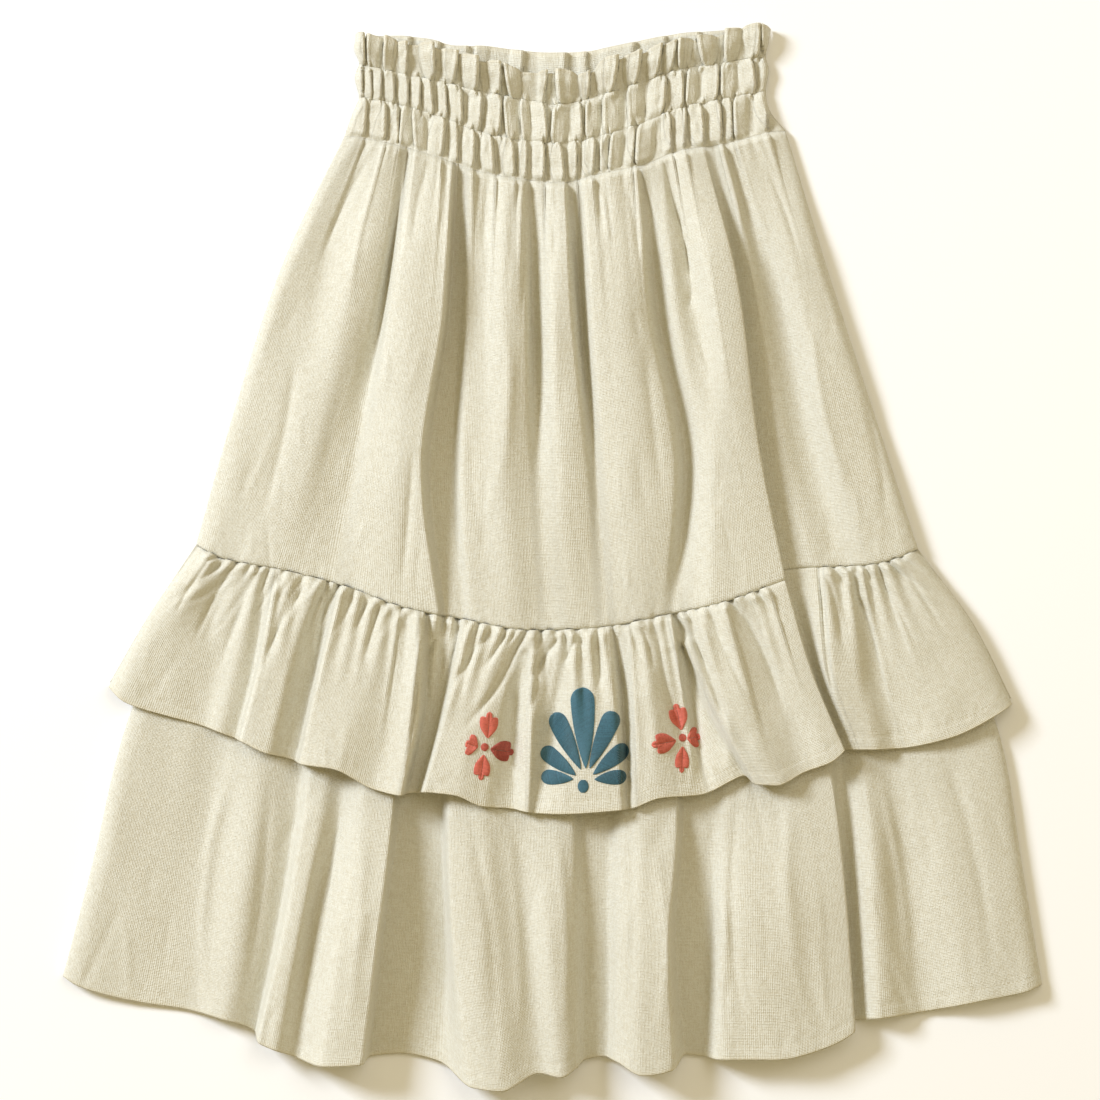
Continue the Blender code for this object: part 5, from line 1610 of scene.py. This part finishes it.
@dataclass(frozen=True)
class LinenFinish:
    """Washed linen in a natural cream with slubs in both directions, and a painted warm tint near its edges for light
    through the cloth.
    """

    light: Colour = (0.74, 0.73, 0.64, 1.0)
    dark: Colour = (0.61, 0.567, 0.44, 1.0)
    # edge: colour of the painted translucency, a warm tint standing in for light through the cloth near hems and the
    # heading's free edge
    edge: Colour = (0.725, 0.662, 0.49, 1.0)
    slub_width: float = 0.0010
    slub_length: float = 0.0052
    nap_size: tuple[float, float] = (0.0007, 0.0007)
    cloud_size: tuple[float, float] = (0.045, 0.06)
    thread_pitch: float = 0.0009
    colour_shares: tuple[float, float, float] = (0.58, 0.34, 0.08)
    colour_range: tuple[float, float] = (0.36, 0.62)
    darkest: float = 0.74
    relief_shares: tuple[float, float, float] = (0.85, 0.5, 0.26)
    relief: float = 0.0008
    painted_translucency_share: float = 0.45
    roughness: float = 0.92

    @staticmethod
    def noise(graph: Graph, place: Value, size: tuple[float, float], detail: float) -> Value:
        """Noise from 0 to 1 whose size in metres across and down the cloth can differ."""
        scaled = graph.node("ShaderNodeMapping", "Vector",
                            {"Vector": place, "Scale": (1 / size[0], 1 / size[1], 1.0)}, vector_type="POINT")
        return graph.node("ShaderNodeTexNoise", "Fac",
                          {"Vector": scaled, "Scale": 1.0, "Detail": detail, "Roughness": 0.6}, noise_dimensions="2D")

    def threads(self, graph: Graph, place: Value, axis: int) -> Value:
        """Fine parallel threads across one axis of the cloth.

        Args:
            graph: The material's node tree.
            place: The cloth's own coordinates in metres.
            axis: 0 for the warp and 1 for the weft.

        Returns:
            The threads' height, from 0 to 1.
        """
        scale = [0.25 / self.thread_pitch, 0.25 / self.thread_pitch, 1.0]
        scale[1 - axis] = 18.0
        scaled = graph.node("ShaderNodeMapping", "Vector", {"Vector": place, "Scale": scale}, vector_type="POINT")
        return graph.node("ShaderNodeTexWave", "Fac", {"Vector": scaled, "Scale": 1.27, "Distortion": 1.4,
                                                       "Detail": 2.0, "Detail Scale": 0.6},
                          bands_direction="XY"[axis])

    def make(self) -> Material:
        """Build the material."""
        graph = Graph("linen")
        place = graph.node("ShaderNodeUVMap", "UV", uv_map=ShellMaker.uv_name)
        warp, weft, nap, cloud = (self.noise(graph, place, size, detail) for size, detail in (
            ((self.slub_width, self.slub_length), 2.0), ((self.slub_length, self.slub_width), 2.0),
            (self.nap_size, 1.0), (self.cloud_size, 3.0)))
        slubs = warp * 0.55 + weft * 0.45
        of_slubs, of_nap, of_cloud = self.colour_shares
        darkness = graph.node("ShaderNodeMapRange", "Result",
                              {"Value": slubs * of_slubs + nap * of_nap + cloud * of_cloud,
                               "From Min": self.colour_range[0], "From Max": self.colour_range[1],
                               "To Min": self.darkest, "To Max": 0.0}, interpolation_type="SMOOTHSTEP")
        # Painted translucency of each point: how far its colour is tinted as if light shone through the cloth
        tone = graph.node("ShaderNodeAttribute", "Fac", attribute_name=ShellMaker.painted_translucency_name)
        of_slubs, of_nap, of_threads = self.relief_shares
        threads = self.threads(graph, place, 0) * of_threads + self.threads(graph, place, 1) * of_threads
        bump = graph.node("ShaderNodeBump", "Normal", {"Height": slubs * of_slubs + nap * of_nap + threads,
                                                       "Strength": 0.7, "Distance": self.relief})
        # The base colour mixes in the painted translucency tint near the edges
        body = graph.mix(darkness, self.light, self.dark)
        return graph.shade(Base_Color=graph.mix(tone * self.painted_translucency_share, body, self.edge), Normal=bump,
                           Roughness=self.roughness - slubs * 0.10, Sheen_Weight=0.18, Sheen_Roughness=0.45,
                           Specular_IOR_Level=0.25)


@dataclass(frozen=True)
class ThreadFinish:
    """Twisted thread whose colour varies a little from strand to strand, darkened where its points carry painted
    shade.
    """

    name: str
    colour: Colour
    shade: Colour
    roughness: float = 0.55
    sheen: float = 0.1

    def make(self) -> Material:
        """Build the material."""
        graph = Graph(self.name)
        place = graph.node("ShaderNodeTexCoord", "Object")
        strand, cloud = (graph.node("ShaderNodeTexNoise", "Fac", {"Vector": place, "Scale": scale, "Detail": detail},
                                    noise_dimensions="3D") for scale, detail in ((900.0, 2.0), (120.0, 1.0)))
        # Painted shade of each point, with its random mottle, pulls the colour towards the darker one
        tone = graph.node("ShaderNodeAttribute", "Fac", attribute_name="tone")
        mask = graph.node("ShaderNodeClamp", "Result", {"Value": strand * 1.1 + cloud * 0.35 - 0.62 + tone * 0.85})
        bump = graph.node("ShaderNodeBump", "Normal", {"Height": strand, "Strength": 0.4, "Distance": 0.0004})
        return graph.shade(Base_Color=graph.mix(mask, self.colour, self.shade), Normal=bump,
                           Roughness=self.roughness, Sheen_Weight=self.sheen, Specular_IOR_Level=0.4)


# The second colour of each thread is its darker one, used for strand variation and for painted shade
SEWING = ThreadFinish("sewing_thread", (0.74, 0.69, 0.55, 1.0), (0.60, 0.54, 0.40, 1.0), 0.7)
BLUE_FLOSS = ThreadFinish("blue_floss", (0.055, 0.160, 0.215, 1.0), (0.028, 0.075, 0.100, 1.0))
CORAL_FLOSS = ThreadFinish("coral_floss", (0.68, 0.165, 0.115, 1.0), (0.35, 0.062, 0.045, 1.0))


class ThreadTree(NodeMaker):
    """Geometry Nodes that turn drawn lines into threads or rows of stitches."""

    def __init__(self, name: str, sizes: dict[str, float]) -> None:
        """Start a tree with its named sizes."""
        super().__init__(bpy.data.node_groups.new(name, "GeometryNodeTree"))
        ports = self.tree.interface
        for way in ("INPUT", "OUTPUT"):
            ports.new_socket("Geometry", in_out=way, socket_type="NodeSocketGeometry")
        self.sizes = {ports.new_socket(label, in_out="INPUT", socket_type="NodeSocketFloat").identifier: size
                      for label, size in sizes.items()}
        self.entry = self.tree.nodes.new("NodeGroupInput")
        self.exit = self.tree.nodes.new("NodeGroupOutput")

    def given(self, label: str) -> Value:
        """Take one of the tree's own inputs."""
        return Value(self, self.entry.outputs[label])

    def run(self, name: str, shape: Value, points: Array, edges: Array, tone: Array,
            material: Material) -> Object:
        """End the tree, run it on a set of lines and keep the result as a plain mesh.

        Args:
            name: Name of the piece.
            shape: The last shape.
            points: Points of the lines in metres.
            edges: Pairs of point numbers.
            tone: Painted shade of each point, with its random mottle.
            material: The finish.

        Returns:
            The new object, at the origin.
        """
        real = self.node("GeometryNodeRealizeInstances", "Geometry", {"Geometry": shape})
        smooth = self.node("GeometryNodeSetShadeSmooth", "Geometry", {"Geometry": real})
        dressed = self.node("GeometryNodeSetMaterial", "Geometry", {"Geometry": smooth, "Material": material})
        self.join(dressed, self.exit.inputs["Geometry"])
        drawn = bpy.data.meshes.new(name + "_lines")
        drawn.from_pydata(points.tolist(), edges.tolist(), [])
        add_shade(drawn, "tone", tone)
        lines = add_object(name + "_lines", drawn)
        modifier = lines.modifiers.new("threads", "NODES")
        modifier.node_group = self.tree
        for identifier, size in self.sizes.items():
            modifier[identifier] = size
        bpy.context.view_layer.update()
        mesh = bpy.data.meshes.new_from_object(lines.evaluated_get(bpy.context.evaluated_depsgraph_get()))
        mesh.name = name
        lines.modifiers.remove(modifier)
        bpy.data.objects.remove(lines)
        bpy.data.meshes.remove(drawn)
        mesh.materials.clear()
        mesh.materials.append(material)
        return add_object(name, mesh)


@dataclass(frozen=True)
class Stitching:
    """Rows of small stitches along hems and shirring, in metres."""

    pitch: float = 0.0026
    length: float = 0.0017
    thickness: float = 0.00026
    shirring_pitch: float = 0.0021

    def make(self, name: str, lines: Sequence[Array], material: Material,
             pitch: float) -> Object:
        """Sew stitches along lines.

        Args:
            name: Name of the piece.
            lines: Lines of points in metres.
            material: The thread's finish.
            pitch: Distance from stitch to stitch; their length changes with it.

        Returns:
            The stitches as one mesh.
        """
        tree = ThreadTree(name + "_rule", {"Stitch pitch": pitch, "Stitch length": pitch * self.length / self.pitch,
                                           "Thread thickness": self.thickness})
        curve = tree.node("GeometryNodeMeshToCurve", "Curve", {"Mesh": tree.given("Geometry")})
        even = tree.node("GeometryNodeResampleCurve", "Curve",
                         {"Curve": curve, "Length": tree.given("Stitch pitch")}, mode="LENGTH")
        stitch = tree.node("GeometryNodeMeshUVSphere", "Mesh", {"Segments": 6, "Rings": 4, "Radius": 0.5})
        thick = tree.given("Thread thickness")
        size = tree.node("ShaderNodeCombineXYZ", "Vector", {"X": tree.given("Stitch length"), "Y": thick, "Z": thick})
        tangent = tree.node("GeometryNodeInputTangent", "Tangent")
        turn = tree.node("FunctionNodeAlignRotationToVector", "Rotation", {"Vector": tangent}, axis="X")
        placed = tree.node("GeometryNodeInstanceOnPoints", "Instances",
                           {"Points": even, "Instance": stitch, "Rotation": turn, "Scale": size})
        starts = np.cumsum([0] + [len(line) for line in lines])
        edges = np.concatenate([np.stack([np.arange(a, b - 1), np.arange(a + 1, b)], axis=1)
                                for a, b in zip(starts[:-1], starts[1:])])
        return tree.run(name, placed, np.concatenate(lines), edges, np.zeros(starts[-1]), material)


class Drape:
    """Finds the outer surface of a sheet above a place of the plan."""

    above: float = 60.0

    def __init__(self, piece: Object) -> None:
        """Read the piece's shell."""
        mesh = piece.data
        vertices = np.empty(len(mesh.vertices) * 3)
        mesh.vertices.foreach_get("co", vertices)
        faces = [tuple(face.vertices) for face in mesh.polygons]
        self.tree = BVHTree.FromPolygons(vertices.reshape(-1, 3).tolist(), faces)

    def at(self, x: float, y: float) -> tuple[Vector, Vector]:
        """Point and normal of the surface at a place.

        Args:
            x: Plan x.
            y: Plan y.

        Returns:
            The point in metres and its normal.
        """
        start = PLAN.to_metres(np.array([x, y, self.above]))
        point, normal, _, _ = self.tree.ray_cast(Vector(start), Vector((0.0, 0.0, -1.0)))
        if point is None:
            raise ValueError(f"no cloth at plan place {x:.0f}, {y:.0f}")
        return point, normal


@dataclass(frozen=True)
class Embroidery:
    """Satin stitched petals on the flounce, in millimetres."""

    thread_pitch: float = 0.42
    thread_radius: float = 0.27
    padding: float = 0.75
    groove: float = 0.30
    slant: float = 0.06
    edge_rise: float = 0.18
    full_width: float = 9.0
    mottle: float = 0.45

    def outline(self, form: PetalForm, end: float) -> tuple[Array, Array]:
        """Half outline of a petal and the places on its middle line that its threads start from.

        Args:
            form: The petal's form.
            end: Share of the length that a teardrop's round end takes.

        Returns:
            Rows of a share along and a share across, and the shares along of the starts.
        """
        turn = np.linspace(0.0, 1.0, 200)
        if form is PetalForm.TEARDROP:
            widest = 1.0 - end
            taper = np.clip(turn / 0.62, 0.0, 1.0)
            rounded = np.clip((turn - 0.62) / 0.38, 0.0, 1.0)
            along = widest * taper + (1 - widest) * np.sin(rounded * math.pi / 2)
            across = np.where(turn < 0.62, np.sin(taper * math.pi / 2) ** 0.8, np.cos(rounded * math.pi / 2))
            return np.stack([along, across], axis=1), along
        stations = [0.0, 0.18, 0.38, 0.52, 0.62, 0.72, 0.82, 0.93, 1.0]
        shape = np.array([[0.0, 0.06], [0.16, 0.46], [0.38, 0.88], [0.58, 1.0], [0.77, 0.92], [0.80, 0.66],
                          [0.64, 0.38], [0.92, 0.28], [1.0, 0.0]])
        half = monotone_curve(stations, shape, turn)
        starts = 0.88 * smoothstep(-0.12, 1.0, turn) ** 1.1
        return half, np.minimum(starts, half[:, 0])

    def petal_threads(self, petal: Petal) -> list[Array]:
        """Threads of one petal as rows of plan x, plan y and height above the cloth in millimetres.

        Args:
            petal: The petal.

        Returns:
            One array for each thread.
        """
        tip = np.array([petal.tip_x, petal.tip_y])
        run = np.array([petal.end_x, petal.end_y]) - tip
        length = float(np.linalg.norm(run))
        axis = run / length
        side_way = np.array([-axis[1], axis[0]]) * petal.width / 2
        teardrop = petal.form is PetalForm.TEARDROP
        share = np.linspace(0.0, 1.0, 9 if teardrop else 6)

        def thread(start: Array, end: Array, rise: Array) -> Array:
            """Thread between two places at its heights above the cloth."""
            return np.concatenate([start + (end - start) * share[:, None], rise[:, None]], axis=1)

        if petal.form is PetalForm.DOT:
            threads = []
            for place in np.linspace(-0.92, 0.92, int(petal.width * STEP_MM / self.thread_pitch)):
                middle, reach = tip + run * 0.5 + side_way * place, math.sqrt(1 - place * place)
                rise = self.padding * np.sqrt(np.clip(1 - place ** 2 - ((share * 2 - 1) * reach) ** 2, 0.02, 1.0))
                threads.append(thread(middle - run * reach / 2, middle + run * reach / 2, rise))
            return threads
        half, starts = self.outline(petal.form, 0.55 * petal.width / length)
        steps = running(np.linalg.norm(np.diff(half * [length, petal.width / 2], axis=0), axis=1))

        def read(values: Array, at: float) -> float:
            """Value at a distance along the half outline."""
            return float(np.interp(at, steps, values))

        def edge(side: float, at: float) -> Array:
            """Place on one half of the outline."""
            return tip + run * read(half[:, 0], at) + side_way * side * read(half[:, 1], at)

        count = max(8, int(steps[-1] * STEP_MM / self.thread_pitch))
        places = (np.arange(count) + 0.5) / count
        if teardrop:
            threads = []
            for place in places:
                start, end = (edge(side, min(max(place + side * self.slant, 0.0), 1.0) * steps[-1])
                              for side in (-1.0, 1.0))
                wide = min(1.0, float(np.linalg.norm(end - start)) / self.full_width)
                rise = self.edge_rise + (self.padding - self.edge_rise) * np.sin(share * math.pi) ** 0.6 * wide
                threads.append(thread(start, end, rise))
            return threads
        rise = self.groove + (self.padding - self.groove) * np.sin(share * math.pi * 0.9)
        rise = np.where(share > 0.85, 0.12, rise)
        return [thread(tip + run * read(starts, at) + side_way * side * 0.5 / petal.width, edge(side, at),
                       rise * min(1.0, read(half[:, 1], at) * petal.width / 12.0 + 0.2))
                for side in (-1.0, 1.0) for at in places * steps[-1]]

    def make(self, name: str, petals: Sequence[Petal], drape: Drape, material: Material) -> Object:
        """Embroider a motif.

        Args:
            name: Name of the piece.
            petals: Its petals.
            drape: The cloth that they lie on.
            material: The floss.

        Returns:
            The threads as one mesh.
        """
        points, edges, tone = [], [], []
        strands = np.random.default_rng(6)
        for petal in petals:
            for thread in self.petal_threads(petal):
                first = len(points)
                # Each thread's painted shade from its petal, with random mottle
                shade = petal.tone + self.mottle * strands.uniform(-0.5, 0.5)
                for x, y, rise in thread:
                    point, normal = drape.at(float(x), float(y))
                    points.append(point + normal * (float(rise) * MM))
                    tone.append(shade)
                edges += [(first + step, first + step + 1) for step in range(len(thread) - 1)]
        tree = ThreadTree(name + "_rule", {"Thread radius": self.thread_radius * MM})
        curve = tree.node("GeometryNodeMeshToCurve", "Curve", {"Mesh": tree.given("Geometry")})
        ring = tree.node("GeometryNodeCurvePrimitiveCircle", "Curve",
                         {"Resolution": 5, "Radius": tree.given("Thread radius")})
        tube = tree.node("GeometryNodeCurveToMesh", "Mesh",
                         {"Curve": curve, "Profile Curve": ring, "Fill Caps": True})
        return tree.run(name, tube, np.array(points), np.array(edges), np.array(tone), material)


class Lamp(NamedTuple):
    """Soft square light that faces the skirt: place and side in metres, power in watts and colour."""

    name: str
    place: tuple[float, float, float]
    size: float
    power: float
    colour: tuple[float, float, float]

    def hang(self) -> None:
        """Put the light into the scene."""
        light = bpy.data.lights.new(self.name, "AREA")
        light.color = self.colour
        light.size = self.size
        light.energy = self.power
        holder = add_object(self.name, light)
        holder.location = self.place
        holder.rotation_euler = Vector(self.place).to_track_quat("Z", "Y").to_euler()


@dataclass(frozen=True)
class Studio:
    """Pale floor, soft light from the upper left and a camera straight above."""

    floor_size: float = 12.0
    floor_colour: Colour = (0.95, 0.955, 0.965, 1.0)
    frame_width: float = 0.66
    camera_height: float = 4.0
    look_at: tuple[float, float] = (-2.5, 6.0)
    key: Lamp = Lamp("key_light", (-3.4, 2.0, 2.5), 1.3, 258.0, (0.825, 0.885, 1.0))
    fill: Lamp = Lamp("fill_light", (0.9, 0.9, 2.2), 1.6, 12.0, (1.0, 1.0, 1.0))
    ambient: float = 0.50
    ambient_colour: Colour = (1.0, 0.81, 0.42, 1.0)

    def build(self) -> None:
        """Build the floor, the lights and the camera."""
        half = self.floor_size / 2
        mesh = bpy.data.meshes.new("floor")
        mesh.from_pydata([(-half, -half, 0), (half, -half, 0), (half, half, 0), (-half, half, 0)], [], [(0, 1, 2, 3)])
        mesh.materials.append(Graph("pale_floor").shade(Base_Color=self.floor_colour, Roughness=0.9,
                                                        Specular_IOR_Level=0.1))
        add_object("floor", mesh)
        self.key.hang()
        self.fill.hang()
        scene = bpy.context.scene
        scene.world = bpy.data.worlds.new("studio")
        scene.world.use_nodes = True
        background = scene.world.node_tree.nodes["Background"].inputs
        background["Color"].default_value = self.ambient_colour
        background["Strength"].default_value = self.ambient
        scene.view_settings.view_transform = "Standard"
        camera = bpy.data.cameras.new("camera")
        camera.sensor_width = 36.0
        camera.lens = camera.sensor_width * self.camera_height / self.frame_width
        camera.clip_end = 40.0
        scene.camera = add_object("camera", camera)
        scene.camera.location = (self.look_at[0] * PLAN.step, self.look_at[1] * PLAN.step, self.camera_height)


@dataclass(frozen=True)
class Skirt:
    """The whole skirt: eight cuts of cloth, their stitches and the embroidery."""

    band: Waistband
    panel: UpperPanel
    flounce: Flounce
    tier: LowerTier
    stitching: Stitching
    embroidery: Embroidery
    hem_stitch_rise: float = 0.02
    shirring_stitch_sink: float = 0.1

    def build(self) -> None:
        """Build and declare every piece."""
        linen, sewing = LinenFinish().make(), SEWING.make()
        maker = ShellMaker()
        panel, panel_spans = self.panel.front()
        flounce = self.flounce.front(panel, panel_spans)
        sheets = {
            "front_panel": panel, "back_panel": self.panel.back(),
            "ruffle_front": flounce, "ruffle_back": self.flounce.back(),
            "lower_tier_front": self.tier.front(flounce), "lower_tier_back": self.tier.back(),
            "waistband_front": self.band.front(panel), "waistband_back": self.band.back(),
        }
        pieces = {node: maker.make(sheet, linen) for node, sheet in sheets.items()}
        drape = Drape(pieces["ruffle_front"])
        blue = self.embroidery.make("embroidery_blue", BLUE_MOTIF, drape, BLUE_FLOSS.make())
        coral = self.embroidery.make("embroidery_coral", CORAL_MOTIF, drape, CORAL_FLOSS.make())
        details = {
            "ruffle_front": [self.hem_stitches(flounce, sewing), blue, coral],
            "lower_tier_front": [self.hem_stitches(sheets["lower_tier_front"], sewing)],
            "waistband_front": [self.shirring_stitches(sheets["waistband_front"], sewing)],
        }
        for node, piece in pieces.items():
            self.declare(node, piece, details.get(node, []))

    def declare(self, node: str, piece: Object, details: Sequence[Object]) -> None:
        """Tell the frame what a piece is.

        Args:
            node: The CAD node that it stands for.
            piece: The piece.
            details: Small pieces on it.
        """
        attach(piece, BODY)
        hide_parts(node)
        for detail in details:
            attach(detail, BODY)
        LOG.info("%s: %d faces, %d pieces on it", piece.name, len(piece.data.polygons), len(details))

    def sew(self, sheet: Sheet, lines: Sequence[Array], rise: float, pitch: float,
            material: Material) -> Object:
        """Sew lines of stitches on a sheet.

        Args:
            sheet: The sheet.
            lines: Plan points of each line on the middle of the cloth.
            rise: Height of the stitches above it in millimetres.
            pitch: Distance from stitch to stitch in metres.
            material: The thread's finish.

        Returns:
            The stitches.
        """
        raised = []
        for line in lines:
            height = ShellMaker.swollen(line) + rise
            raised.append(PLAN.to_metres(np.stack([line[:, 0], line[:, 1], height], axis=1)))
        return self.stitching.make(sheet.name.replace("cloth", "stitches"), raised, material, pitch)

    def hem_stitches(self, sheet: Sheet, material: Material) -> Object:
        """Sew the line of stitches above a free hem."""
        rise = CLOTH.hem_shell / 2 + self.hem_stitch_rise
        return self.sew(sheet, [sheet.row_at(HEM_DEPTH)[3:-3]], rise, self.stitching.pitch, material)

    def shirring_stitches(self, sheet: Sheet, material: Material) -> Object:
        """Sew the upper two rows of shirring across the front waistband."""
        zones = Waistband.row_zones(sheet.points.shape[0])
        lines = [sheet.points[int(np.argmin(np.abs(zones - row_zone))), 4:-4] for row_zone in SHIRRED_ZONES[:2]]
        rise = CLOTH.band_shell / 2 - self.shirring_stitch_sink
        return self.sew(sheet, lines, rise, self.stitching.shirring_pitch, material)


class Cut(NamedTuple):
    """Flat size of a cut in metres, the area of its cloth in square metres, and what it lies on."""

    width: float
    length: float
    area: float
    rests_on: tuple[str, ...]


def main() -> None:
    """Load the frame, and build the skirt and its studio."""
    logging.basicConfig(level=logging.INFO, format="%(name)s: %(message)s")
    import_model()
    Skirt(Waistband(), UpperPanel(), Flounce(), LowerTier(), Stitching(), Embroidery()).build()
    Studio().build()
    LOG.info("skirt built")


if __name__ == "__main__":
    main()
